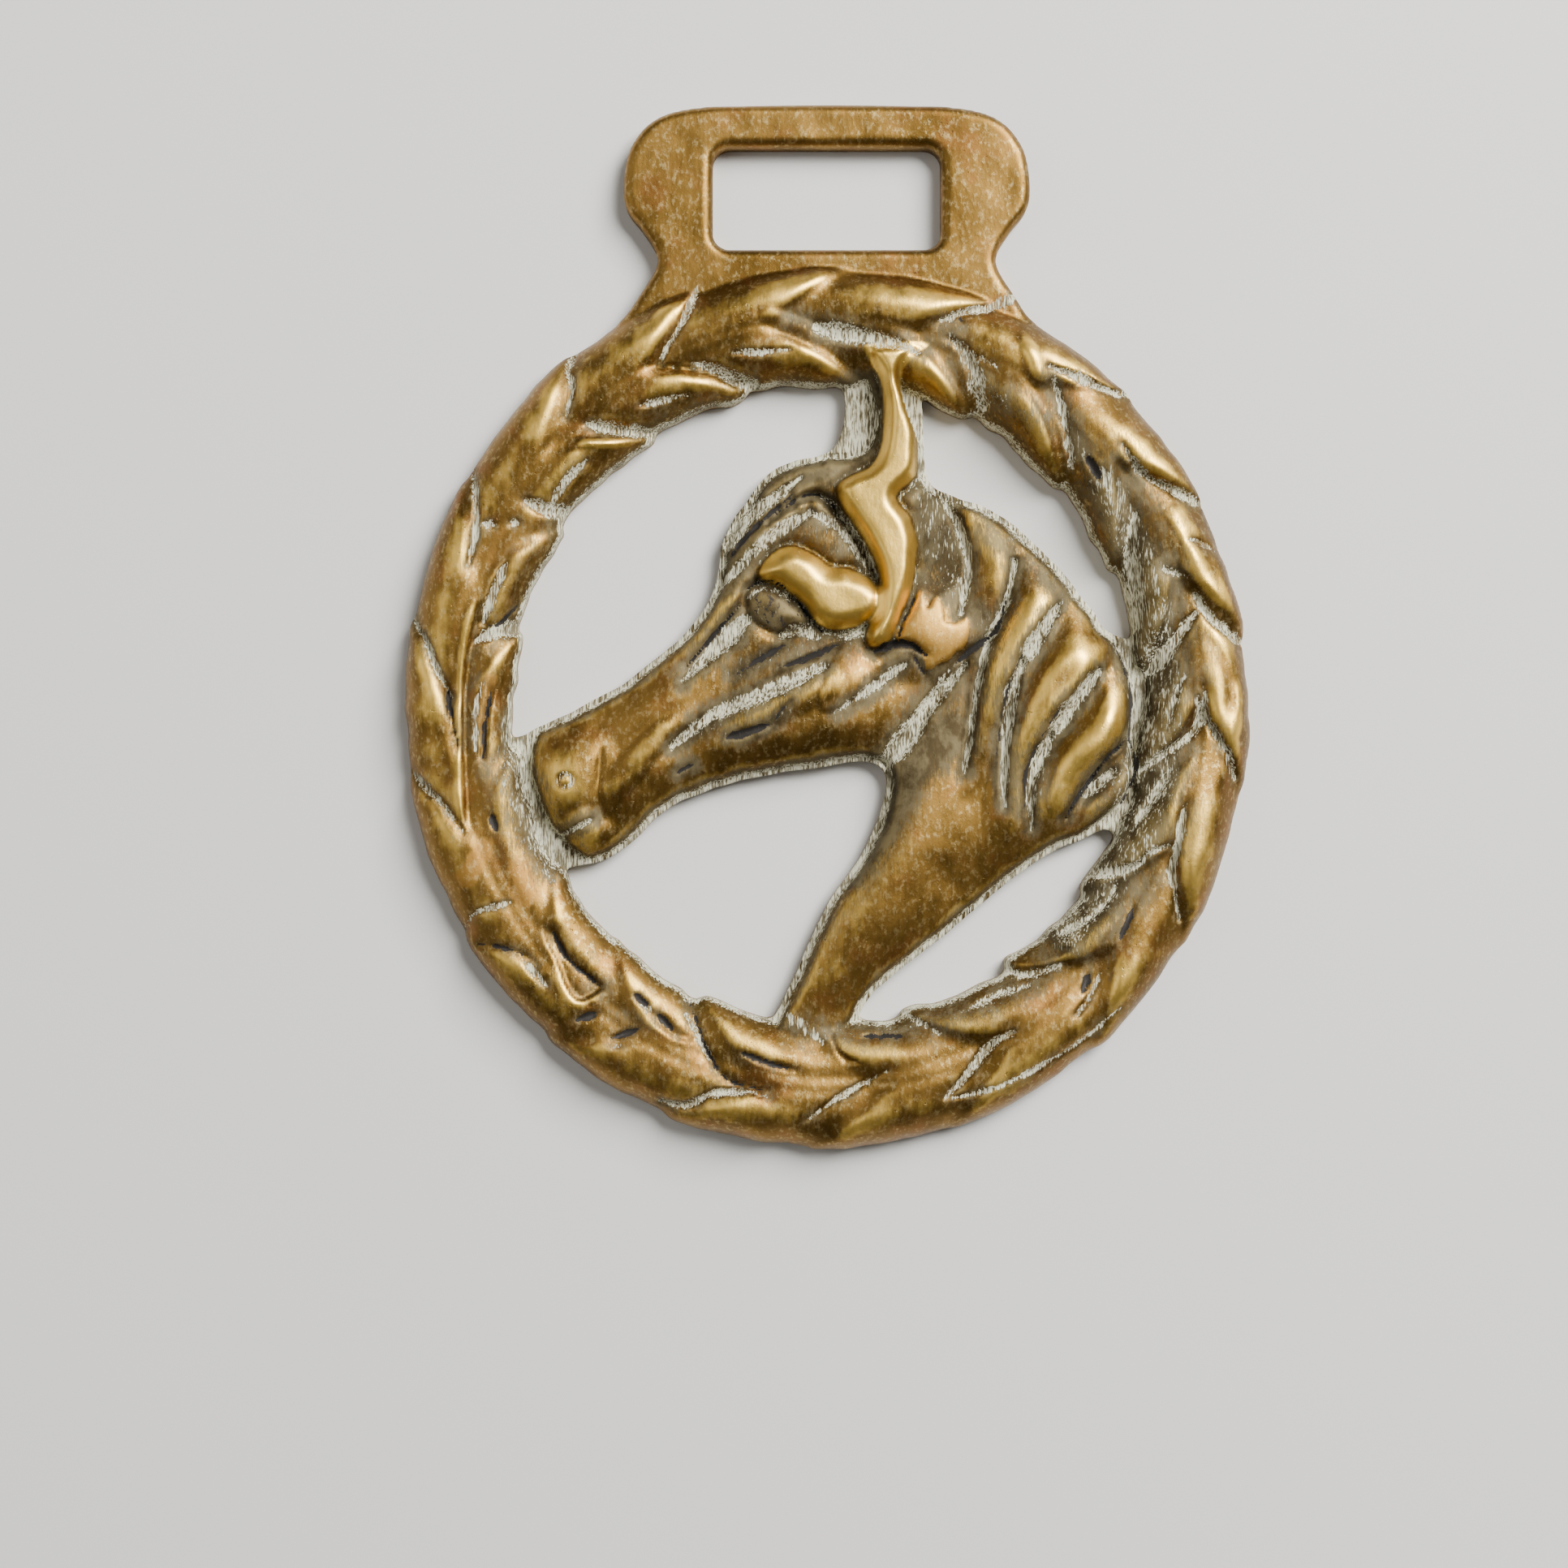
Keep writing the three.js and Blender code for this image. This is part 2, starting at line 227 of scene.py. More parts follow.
NAPE_GAP = [(1.9, -30), (4.6, -25.6), (11.7, -19.8), (19, -13.9), (26, -10.4)]
# the head's side, and where on the clock the wreath's side starts and ends
OPENINGS = [(BROW_GAP, 265, 363), (POLL_GAP, 15, 77), (THROAT_GAP, 191.5, 241.5), (NAPE_GAP, 112, 176)]
BEYOND_BORE = 34
OPENING_CORNER = 0.9


def arc(start, end, radius):
    """Points on a circle, with angles in degrees clockwise from the top."""
    angles = np.radians(np.linspace(start, end, 20))
    return np.c_[radius*np.sin(angles), radius*np.cos(angles)]


gap_depth = np.full(X.shape, -99.0)
for head_side, start, end in OPENINGS:
    edge = np.vstack([smooth_line(head_side), arc(start, end, BEYOND_BORE)])
    edge = np.vstack([edge, edge[:1]])
    inside = depth_inside(edge, X, Y)
    gap_depth = np.maximum(gap_depth, soft_min(inside, -bore_depth, OPENING_CORNER))
gap_depth += 0.05*WOBBLE
print("openings cover", round(float((gap_depth > 0).sum()*BOARD**2)), "square mm")

# %% Hanger
# the right side, from the wreath up to the middle of the top bar
HANGER_SIDE = [(19.4, 36.5), (17.6, 39.4), (16, 42), (16, 43.6), (17.2, 45.6), (18.7, 47.6),
               (19, 50), (18.3, 53.4), (16, 56), (12, 57.1), (5, 57.3)]
SLOT_HALF_WIDTH = 10.7
SLOT_BOTTOM, SLOT_TOP = 43.8, 53.4
SLOT_CORNER = 1.6
HANGER_FILLET = 0.8
hanger_line = smooth_line(HANGER_SIDE+[(-a, b) for a, b in reversed(HANGER_SIDE)])
hanger_line = np.vstack([hanger_line, hanger_line[:1]])
hanger_depth = depth_inside(hanger_line, X, Y)
past_side = np.abs(X)-SLOT_HALF_WIDTH+SLOT_CORNER
past_end = np.abs(Y-(SLOT_BOTTOM+SLOT_TOP)/2)-(SLOT_TOP-SLOT_BOTTOM)/2+SLOT_CORNER
beyond = np.hypot(np.maximum(past_side, 0), np.maximum(past_end, 0))
slot_depth = SLOT_CORNER-beyond-np.minimum(np.maximum(past_side, past_end), 0)
body = soft_max(ring_depth, hanger_depth, HANGER_FILLET)
METAL = np.minimum(body, -np.maximum(gap_depth, slot_depth))
print("metal covers", round(float((METAL > 0).sum()*BOARD**2)), "square mm")

# %% [markdown]
# ## Carving tools
# A cut is a shallow trough along a curve, with a width at each end, and a ridge is the same
# thing raised. The old dirt that sits in a cut, and the painted shadow of a few dark cuts, is noted
# while the cut is made, so that the finish later falls where the carving is.

# %% Carving tools
RESIDUE = np.zeros(X.shape)
TARNISH_AND_SHADOW = np.zeros(X.shape)
GRIME = np.zeros(X.shape)


def fill(field, where, amount):
    field[where] = np.maximum(field[where], amount)


# Dried polish fills a pale cut nearly to its brim, and a dark cut is a narrow one.
PALE_DEPTH = 0.55
DARK_WIDTH = 0.8


def cut(height, soil, kind, deep, wide_start, wide_end, points):
    """Lowers a trough along the points and lays its dirt: pale, dark or none, with soil round it. Dark is
    black tarnish, and in a few cuts painted shadow.
    """
    line = smooth_line(points)
    widest = max(wide_start, wide_end)
    where = near(line, widest+2.2)
    gap, along, _ = measure(line, X[where], Y[where])
    half = (wide_start+(wide_end-wide_start)*along)/2
    half *= 0.45+0.55*ramp(0, 0.22, along)*ramp(1, 0.78, along)
    half += 0.05*WOBBLE[where]+0.05*BRUSHED[where]
    half = np.maximum(half, 0.08)
    if kind == "pale":
        deep *= PALE_DEPTH
    elif kind == "dark":
        half *= DARK_WIDTH
    height[where] -= deep*(1-ramp(0.4, 1.25, gap/half))
    height[where] -= 0.35*deep*np.exp(-(gap/(half+0.6))**2)
    dirt = 1-ramp(0.5, 1.5, gap/half)
    if kind == "pale":
        fill(RESIDUE, where, dirt)
    elif kind == "dark":
        fill(TARNISH_AND_SHADOW, where, dirt)
        RESIDUE[where] *= 1-dirt
    if kind != "bare":
        fill(GRIME, where, soil*np.exp(-(np.maximum(gap-half, 0)/(0.3+soil))**2))


def carve(place, height, soil, strokes):
    """Makes a list of cuts, one after another."""
    for stroke in strokes:
        cut(height, soil, *stroke)
    print("cuts", place+":", len(strokes))


# %% Ridges and overlaps
def ridge(height, rise, half, points):
    """Raises a rounded fold along the points, lower at its ends."""
    line = smooth_line(points)
    where = near(line, half+0.5)
    gap, along, _ = measure(line, X[where], Y[where])
    ends = ramp(-0.1, 0.25, along)*ramp(1.05, 0.55, along)
    height[where] += rise*ends*np.clip(1-(gap/half)**2, 0, 1)**1.3


def overlap(height, drop, points):
    """Leaves the left of the line standing over its right, as one leaf lies on the next."""
    line = smooth_line(points)
    where = near(line, 3.0)
    gap, along, side = measure(line, X[where], Y[where])
    ends = ramp(0, 0.12, along)*ramp(1, 0.88, along)
    signed = gap*side
    under = ramp(0.25, -0.25, signed)*np.exp(-gap/1.3)
    over = ramp(-0.25, 0.25, signed)*np.exp(-(gap/0.9)**2)
    height[where] += ends*drop*(0.35*over-under)


# %% [markdown]
# ## Leaves
# Each leaf is a full, rounded form across the band and again from crease to crease. Then the
# creases are cut one by one: some run right across, some fade half way, and some are only a
# dab of the graver on a leaf. A repeated leaf would be quicker, but it would look stamped.

# %% Leaf bodies
RIM_HEIGHT = 1.5
BAND_CROWN = 4.75
LEAF_SWELL = 1.0
MID_RIB_STEP = 0.16
SHOULDER = 3.6
round_outer = dome(ring_depth/SHOULDER)
round_inner = dome(bore_depth/(SHOULDER+0.4))
section = np.minimum(round_outer, round_inner)
section = section-0.25*section*(1-section)
KEENEST = radians(70)
keen = 0.62+0.38*np.cos(CLOCK-KEENEST)
swell = blur(ramp(0, 0.7, LEAF_SHARE)-ramp(0.82, 1.0, LEAF_SHARE), 0.3)
sag = np.exp(-(BAND/0.32)**2)
wreath = RIM_HEIGHT+(BAND_CROWN-RIM_HEIGHT)*section
wreath += section*(LEAF_SWELL*keen*swell-0.3-0.2*sag+0.12*SWELL)
wreath += section*MID_RIB_STEP*np.sign(BAND)*ramp(0, 0.2, np.abs(BAND))
print("band is", round(float(wreath[METAL > 0].max()), 2), "mm high before it is cut")

# %% Creases at the top left
WREATH_SOIL = 0.5
# dirt, depth, width at the start and at the end, line
TOP_LEFT_CREASES = [
    ("pale", 0.8, 0.8, 0.2, [(-12.1, 40.2), (-12.7, 38.3), (-13.8, 36.2), (-15.6, 32.9)]),
    ("bare", 0.5, 0.2, 0.4, [(-15.6, 32.6), (-12.9, 32.5), (-10.6, 32.0), (-8.7, 31.1)]),
    ("pale", 0.7, 0.6, 1.5, [(-12.7, 33.0), (-10.6, 32.5), (-8.3, 31.5), (-6.5, 31.2)]),
    ("pale", 0.4, 0.5, 0.5, [(-8.7, 33.8), (-6.0, 33.9), (-3.3, 34.1)]),
    ("pale", 0.9, 1.0, 0.3, [(-23.4, 34.8), (-24.0, 32.5), (-23.7, 30.6), (-24.3, 27.8)]),
    ("pale", 1.0, 0.9, 1.5, [(-22.5, 27.3), (-19.8, 26.8), (-16.5, 26.6)]),
    ("pale", 0.4, 0.5, 0.4, [(-17.5, 28.9), (-15.2, 29.5), (-12.9, 30.0)]),
    ("pale", 0.7, 1.0, 0.2, [(-33.1, 23.2), (-32.8, 21.1), (-32.6, 18.0), (-33.3, 14.0)]),
    ("pale", 0.9, 1.1, 1.7, [(-28.0, 20.1), (-25.9, 19.3), (-23.8, 19.1)]),
    ("pale", 0.4, 0.8, 0.8, [(-31.9, 18.0), (-30.9, 17.8)]),
    ("pale", 0.4, 0.9, 0.8, [(-29.4, 18.0), (-28.6, 18.0)]),
    ("pale", 0.7, 0.8, 0.6, [(-22.4, 23.8), (-24.0, 22.2), (-25.7, 19.9)]),
    ("pale", 1.0, 0.8, 0.4, [(-38.7, 9.4), (-37.4, 7.3), (-36.1, 4.2), (-34.9, 1.9)]),
    ("pale", 0.8, 0.8, 1.1, [(-29.7, 14.4), (-30.9, 11.9), (-32.0, 8.8)]),
    ("dark", 0.3, 0.2, 0.2, [(-32.0, 8.4), (-30.7, 8.6), (-29.9, 9.4), (-28.6, 10.7)]),
    ("pale", 0.8, 1.1, 1.7, [(-32.6, 7.1), (-30.9, 8.0), (-28.7, 8.4)]),
]
carve("at the top left", wreath, WREATH_SOIL, TOP_LEFT_CREASES)

# %% Creases on the left
LEFT_CREASES = [
    ("pale", 0.9, 0.8, 0.5, [(-38.7, -5.0), (-37.4, -6.5), (-35.8, -8.0), (-33.8, -10.7)]),
    ("dark", 0.5, 0.5, 0.2, [(-35.4, 2.7), (-34.9, 0.0), (-34.2, -3.1)]),
    ("dark", 0.5, 0.5, 0.4, [(-31.2, 2.7), (-31.8, -0.8), (-32.0, -3.8)]),
    ("pale", 0.3, 0.6, 0.5, [(-32.1, 3.1), (-32.8, 0.0), (-32.7, -3.1)]),
    ("dark", 0.3, 1.0, 1.0, [(-31.2, -9.0), (-30.7, -10.5)]),
    ("pale", 0.35, 0.4, 0.3, [(-33.9, -19.5), (-32.4, -18.1), (-29.3, -17.2)]),
    ("dark", 0.35, 0.3, 0.3, [(-32.4, -21.1), (-29.7, -21.5), (-28.0, -22.2), (-26.9, -23.0)]),
    ("pale", 0.4, 0.8, 0.7, [(-28.0, -22.8), (-25.9, -25.1)]),
    ("dark", 0.4, 0.8, 0.6, [(-25.5, -19.9), (-24.3, -22.2), (-22.0, -24.3), (-21.0, -25.1)]),
    ("dark", 0.2, 0.8, 0.8, [(-23.2, -28.1), (-21.3, -27.5)]),
    ("dark", 0.25, 0.8, 0.6, [(-19.9, -29.8), (-17.5, -29.0)]),
    ("pale", 0.2, 0.5, 0.5, [(-19.9, -30.7), (-19.2, -30.4)]),
    ("dark", 0.3, 0.8, 0.7, [(-17.8, -25.8), (-16.7, -26.8)]),
    ("pale", 0.3, 0.5, 0.5, [(-17.4, -26.5), (-16.1, -27.6)]),
    ("dark", 0.3, 0.8, 0.8, [(-15.8, -27.6), (-14.4, -29.1)]),
    ("dark", 0.5, 0.4, 0.2, [(-13.1, -26.0), (-12.0, -28.7), (-10.9, -31.4), (-9.2, -33.7), (-5.2, -34.8)]),
    ("pale", 0.3, 0.8, 0.4, [(-13.1, -27.6), (-11.9, -29.9), (-10.6, -32.0)]),
    ("pale", 0.9, 1.0, 0.3, [(-15.5, -35.7), (-12.9, -36.0), (-10.6, -34.9), (-7.5, -34.8), (-5.4, -35.2)]),
    ("dark", 0.3, 0.8, 0.4, [(-7.9, -31.2), (-5.2, -32.2), (-2.9, -32.8)]),
]
carve("on the left", wreath, WREATH_SOIL, LEFT_CREASES)

# %% Creases at the foot
FOOT_CREASES = [
    ("pale", 0.5, 1.3, 0.3, [(-3.5, -27.8), (-2.1, -28.8), (-0.4, -30.4)]),
    ("pale", 0.7, 0.6, 0.4, [(-2.0, -37.5), (1.3, -35.2), (5.5, -32.9)]),
    ("dark", 0.4, 0.6, 0.5, [(3.4, -29.8), (5.1, -29.7), (7.0, -29.7)]),
    ("bare", 0.3, 0.5, 0.5, [(0.0, -28.7), (1.3, -31.4), (3.4, -32.2)]),
    ("pale", 0.5, 0.9, 0.3, [(3.2, -27.0), (7.4, -27.8), (10.5, -29.5)]),
    ("pale", 0.8, 0.9, 0.5, [(17.3, -29.2), (15.2, -30.4), (13.2, -33.0), (10.9, -35.4)]),
    ("pale", 0.35, 0.4, 0.5, [(11.6, -35.4), (15.5, -34.4), (20.1, -32.2), (23.9, -29.9), (27.3, -26.9)]),
    ("pale", 0.4, 0.7, 0.5, [(13.4, -27.0), (16.2, -25.7), (18.7, -25.0)]),
    ("pale", 0.6, 1.0, 0.5, [(16.2, -23.2), (18.5, -24.0), (22.0, -22.9)]),
    ("bare", 0.3, 1.4, 1.1, [(17.6, -22.6), (20.1, -22.2), (22.4, -21.5)]),
    ("pale", 0.5, 0.5, 0.3, [(23.2, -27.6), (24.3, -26.0), (25.5, -23.7)]),
    ("dark", 0.2, 1.1, 0.8, [(23.7, -25.6), (24.3, -23.9)]),
    ("dark", 0.2, 0.7, 0.5, [(27.1, -20.7), (28.5, -17.6)]),
    ("pale", 0.6, 0.8, 0.3, [(21.6, -20.3), (24.3, -18.8), (26.0, -17.2), (27.0, -15.6)]),
    ("pale", 0.7, 1.1, 0.5, [(23.3, -14.6), (26.2, -14.5), (28.7, -13.8), (30.0, -12.6), (31.7, -11.9)]),
    ("pale", 0.9, 0.8, 0.6, [(33.1, -8.2), (32.5, -11.9), (32.1, -14.9), (32.8, -18.8)]),
    ("pale", 0.7, 0.8, 0.5, [(31.9, -4.8), (30.2, -7.7), (28.1, -10.9)]),
    ("pale", 0.7, 0.7, 0.8, [(29.2, -5.0), (31.2, -3.4), (33.5, -1.9), (34.7, 0.0), (34.3, 1.9)]),
    ("pale", 0.9, 0.5, 0.8, [(34.9, 2.9), (35.2, 0.0), (35.8, -1.1), (37.1, -3.1), (38.0, -5.8)]),
    ("pale", 0.5, 0.5, 0.5, [(33.1, 3.8), (32.3, 1.9), (31.5, -1.5)]),
]
carve("at the foot", wreath, WREATH_SOIL, FOOT_CREASES)

# %% Creases on the right
RIGHT_CREASES = [
    ("pale", 0.9, 1.1, 0.5, [(18.0, 39.6), (15.1, 38.2), (12.8, 37.7), (10.3, 36.7)]),
    ("dark", 0.3, 0.5, 0.5, [(12.1, 37.2), (12.7, 36.7)]),
    ("pale", 0.7, 0.7, 1.9, [(11.3, 35.2), (12.9, 33.9), (13.9, 31.0), (14.5, 29.1)]),
    ("pale", 0.4, 0.5, 0.4, [(13.9, 33.5), (15.7, 32.5)]),
    ("pale", 0.7, 1.9, 1.1, [(-1.0, 36.2), (2.1, 35.6), (5.9, 34.8), (8.4, 33.8)]),
    ("pale", 0.95, 1.0, 0.4, [(20.6, 32.5), (23.9, 31.3), (26.9, 30.2), (29.6, 30.2), (32.3, 27.2)]),
    ("pale", 0.6, 0.4, 0.9, [(21.1, 31.4), (22.0, 27.9), (22.4, 25.6), (22.8, 23.3)]),
    ("pale", 1.0, 0.8, 1.1, [(27.3, 25.3), (28.9, 23.0), (31.5, 21.5), (35.8, 19.6)]),
    ("dark", 0.4, 1.0, 0.8, [(24.1, 24.1), (25.2, 22.2)]),
    ("pale", 0.3, 0.7, 0.5, [(25.7, 22.8), (26.1, 21.1)]),
    ("pale", 0.7, 1.0, 1.5, [(28.6, 18.9), (28.2, 15.7), (28.6, 13.4), (28.9, 8.4)]),
    ("pale", 0.5, 0.6, 0.5, [(33.5, 16.5), (34.8, 16.1), (36.3, 15.5)]),
    ("pale", 0.6, 0.6, 0.5, [(31.0, 13.7), (33.5, 13.0)]),
    ("pale", 1.0, 0.8, 1.1, [(34.2, 11.4), (35.4, 9.5), (37.3, 8.0), (39.6, 6.4)]),
    ("pale", 0.8, 0.8, 1.9, [(34.1, 9.6), (32.5, 7.3), (30.1, 4.2)]),
    ("pale", 0.3, 0.5, 0.5, [(31.0, 11.3), (31.2, 10.0)]),
]
carve("on the right", wreath, WREATH_SOIL, RIGHT_CREASES)

# %% Folds and overlaps of the leaves
LOWEST_LEAF = 1.2
# rise, half-width, line
LEAF_FOLDS = [
    (0.5, 1.0, [(-5.4, 37.1), (-2.9, 36.2), (0.2, 34.8)]),
    (0.4, 0.6, [(-23.6, 25.6), (-20.9, 25.5), (-17.8, 25.6)]),
    (0.3, 1.0, [(30.0, 27.4), (32.3, 24.9), (34.6, 21.8)]),
    (0.3, 0.9, [(32.3, 19.9), (34.0, 17.6), (35.4, 16.1)]),
    (0.35, 1.1, [(35.4, 9.2), (37.7, 5.7), (38.8, 1.1), (39.2, -2.7)]),
    (0.3, 0.8, [(31.5, 19.5), (33.5, 16.1), (34.8, 12.6)]),
    (0.35, 0.9, [(18.3, 36.4), (18.9, 33.7), (21.6, 25.6)]),
    (0.3, 1.0, [(36.1, 15.7), (37.3, 12.6), (38.0, 10.0)]),
    (0.3, 1.0, [(38.8, 4.2), (38.0, -0.4), (36.1, -8.4)]),
    (0.3, 0.8, [(33.8, -3.4), (32.3, -7.3), (31.2, -11.9)]),
]
# drop, line
LEAF_EDGES = [
    (0.7, [(-33.4, -11.0), (-33.7, -7.5), (-33.9, -2.0), (-33.8, 2.5), (-33.2, 7.5), (-32.2, 11.4)]),
    (0.4, [(-20.3, -25.0), (-23.3, -26.2), (-25.1, -22.6), (-26.6, -19.2)]),
    (0.3, [(-12.1, -30.2), (-14.4, -29.6), (-16.9, -27.6)]),
]
for fold in LEAF_FOLDS:
    ridge(wreath, *fold)
for drop, line in LEAF_EDGES:
    overlap(wreath, drop, line)
wreath = np.maximum(wreath, LOWEST_LEAF)
print("highest leaf", round(float(wreath[METAL > 0].max()), 2), "mm")

# %% [markdown]
# ## The horse's head
# The head rises in a steep wall from a thin fringe, then rounds over. Its big forms are soft
# swellings: muzzle, nose bone, jaw, neck and the crest under the mane. The brow, the eye and
# the ear stand up as smooth plates, worn bright by polishing.

# %% Head outline and large forms
HEAD = [(3.6, 33.5), (4.6, 28.5), (3.9, 25.2), (1.7, 24.3), (-0.8, 24.4), (-3.2, 23.9), (-6.1, 22.2),
        (-8.5, 18.9), (-9.8, 16.1), (-10.5, 12.6), (-12.7, 8.5), (-18.2, 3.8), (-23.4, 0.8),
        (-26.6, -0.9), (-27.7, -4.2), (-26.6, -8.4), (-24.9, -11.2), (-22.2, -13.2), (-19.3, -12.8),
        (-16.4, -9.9), (-11.5, -6.9), (-3.8, -5.3), (2.7, -4.2), (5.4, -5.1), (5.4, -9), (0.2, -17.4),
        (-3.1, -24.6), (-6.4, -32.5), (2.4, -32.5), (4.6, -25.6), (11.7, -19.8), (19, -13.9),
        (24.2, -10.6), (28.2, -7), (28.5, -1.5), (28.2, 4.4), (24.3, 10.9), (19.6, 16.2),
        (14.7, 19.8), (9.4, 21.8), (8.5, 25.4), (6.9, 30.4), (8.0, 34.5)]
FRINGE = 0.5
WEB_HEIGHT = 1.7
WALL_RISE = 0.8
FACE_HEIGHT = 3.5
FACE_ROUND = 3.6
# middle x and y, half-length, half-width, turn, rise
MASSES = [
    (-23.4, -5.6, 5.6, 4.6, 80, 1.2),
    (-22.6, -10.6, 2.8, 2.4, 20, 0.7),
    (-17.6, -5.6, 5.0, 3.6, 45, 0.5),
    (-15.6, 0.4, 9.0, 3.4, 37, 0.7),
    (-2.0, 0.6, 10.5, 6.5, 14, 1.3),
    (-11.0, -3.4, 8.0, 3.0, 14, 0.5),
    (-6.0, 18.4, 6.0, 2.6, 52, 0.5),
    (5.0, -14.5, 17.0, 6.5, 56, 1.2),
    (16.5, -10.4, 7.5, 4.5, 38, 0.7),
    (21.5, 3.5, 10.5, 8.0, -58, 1.1),
    (8.4, 8.0, 6.6, 5.0, 0, 1.0),
    (2.4, 4.0, 4.4, 3.4, 40, 0.25),
]
head_depth = depth_inside(smooth_line(HEAD, closed=True), X, Y)
inset = np.minimum(head_depth, -gap_depth-FRINGE)
wall = ramp(-0.05, 0.55, inset)
head_round = dome(inset/FACE_ROUND)
forms = 0.10*SWELL
for middle_x, middle_y, long, wide, turn, rise in MASSES:
    c, s = np.cos(radians(turn)), np.sin(radians(turn))
    along = ((X-middle_x)*c+(Y-middle_y)*s)/long
    aside = ((Y-middle_y)*c-(X-middle_x)*s)/wide
    forms += rise*np.clip(1-along**2-aside**2, 0, 1)**1.5
print("large forms:", len(MASSES))

# %% Bones and locks of the mane
# rise, half-width, line
BONES = [
    (0.6, 1.6, [(-20.9, -7.9), (-16.3, -2.5), (-12.9, -0.4), (-10.2, 1.6)]),
    (0.7, 2.4, [(1.4, 4.4), (-1.6, 3.2), (-5.4, 1.2), (-12.6, -2.9)]),
    (0.5, 1.0, [(-12.8, 6.2), (-10.4, 9.6), (-7.6, 12.8)]),
    (0.5, 0.9, [(-8.2, 14.4), (-5.2, 17.8), (-1.0, 21.6), (1.0, 22.0)]),
]
LOCKS = [
    (0.7, 2.2, [(15.0, 18.8), (15.8, 13.8), (14.4, 8.4)]),
    (1.3, 2.6, [(19.8, 14.4), (19.4, 10.2), (17.2, 6.2), (15.4, 0.4), (14.6, -8)]),
    (1.7, 2.9, [(25.2, 8.8), (23.0, 4.8), (19.8, 0.4), (17.9, -4.6), (17.2, -12)]),
    (1.9, 2.5, [(28.2, 2.8), (26.0, -1.2), (22.3, -5.2), (20.0, -12.0)]),
    (1.1, 1.6, [(29.2, -4.2), (27.0, -7.2), (23.4, -10.2)]),
]
for fold in BONES+LOCKS:
    ridge(forms, *fold)
face = WEB_HEIGHT+WALL_RISE*wall+(FACE_HEIGHT-WEB_HEIGHT-WALL_RISE+forms)*head_round
print("locks of mane:", len(LOCKS))

# %% [markdown]
# ### Plates of the brow, eye and ear
# These stand clear of the face with a rounded edge, and the metal dips just outside them.
# Two more spots, a knob on the cheek and a tuft behind the ear, are only a little proud, and
# are worn to a warmer metal.

# %% Outlines of the plates
BROW = [(-6.2, 13.9), (-4.8, 15.5), (-2.9, 16.0), (-1.3, 15.2), (0.2, 14.0), (1.9, 13.9), (3.9, 13.1),
        (5.4, 11.6), (5.2, 9.6), (3.2, 8.4), (0.4, 8.1), (-1.3, 9.0), (-2.3, 10.4), (-4.2, 11.9),
        (-6.0, 12.8)]
EYE = [(-7.4, 11.5), (-6.4, 12.2), (-4.8, 12.1), (-3.3, 11.0), (-1.8, 9.6), (-2.6, 8.6), (-4.4, 8.1),
       (-6.2, 8.8), (-7.2, 10.1)]
EAR = [(3.6, 34.6), (4.9, 31.5), (5.2, 29.0), (5.1, 26.0), (4.2, 23.5), (2.2, 22.6), (0.9, 21.4),
       (1.3, 19.6), (2.7, 17.6), (4.1, 15.2), (4.8, 13.0), (4.6, 10.0), (3.7, 8.2), (4.0, 6.6),
       (5.6, 6.9), (6.9, 9.4), (7.8, 11.9), (8.3, 14.4), (8.4, 16.5), (7.8, 18.4), (6.5, 20.5),
       (8.3, 22.4), (8.6, 25.0), (8.5, 27.2), (7.7, 29.5), (7.0, 31.6), (8.0, 33.4), (9.4, 34.8)]
TUFT = [(6.4, 7.2), (7.4, 9.6), (8.6, 11.8), (8.9, 10.2), (9.4, 10.0), (10.2, 11.4), (10.8, 10.7),
        (11.0, 9.0), (12.0, 8.8), (12.9, 9.2), (13.4, 8.3), (13.0, 6.9), (12.0, 5.6), (10.6, 4.7),
        (9.2, 4.5), (8.8, 6.0), (7.9, 6.9)]
KNOB = [(1.6, 7.2), (3.0, 7.4), (4.4, 6.0), (5.0, 4.4), (4.2, 2.4), (2.2, 0.8), (-0.6, 0.6), (-0.4, 3.2)]
# outline, height at its top, width of its rounded edge
PLATES = [(EYE, 4.1, 1.8), (BROW, 5.2, 1.9), (EAR, 5.5, 1.4)]
# outline, rise, width of edge, wear
SPOTS = [(KNOB, 0.25, 1.6, 0.4), (TUFT, 0.22, 0.35, 1.0)]
print("plates:", len(PLATES), "worn spots:", len(SPOTS))

# %% Raise the plates
EVERYWHERE = np.s_[:]
PLATE_DIP = 0.5
DIP_REACH = 0.55
POLISHED = np.zeros(X.shape)
WORN = np.zeros(X.shape)
plates = []
for shape, _, _ in PLATES:
    depth = depth_inside(smooth_line(shape, closed=True), X, Y)+0.05*WOBBLE+0.1
    face -= PLATE_DIP*wall*np.exp(-(depth/DIP_REACH)**2)*(depth < 0)
    plates.append(depth)
for depth, (_, top, edge) in zip(plates, PLATES):
    face += np.maximum(top-face, -0.3)*np.sin(0.5*np.pi*np.clip(depth/edge, 0, 1))
for shape, rise, edge, wear in SPOTS:
    depth = depth_inside(smooth_line(shape, closed=True), X, Y)+0.12*BRUSHED+0.06*WOBBLE
    face += rise*dome(depth/edge)*(depth > 0)
    fill(WORN, EVERYWHERE, wear*ramp(-0.1, 0.2, depth))
eye_depth, brow_depth, ear_depth = plates
fill(POLISHED, EVERYWHERE, ramp(-0.1, 0.4, np.maximum(brow_depth, ear_depth)))
fill(POLISHED, EVERYWHERE, np.where(WORN > 0.5, 0.9*WORN, 0))
print("polished plates cover", round(float((POLISHED > 0.5).sum()*BOARD**2)), "square mm")

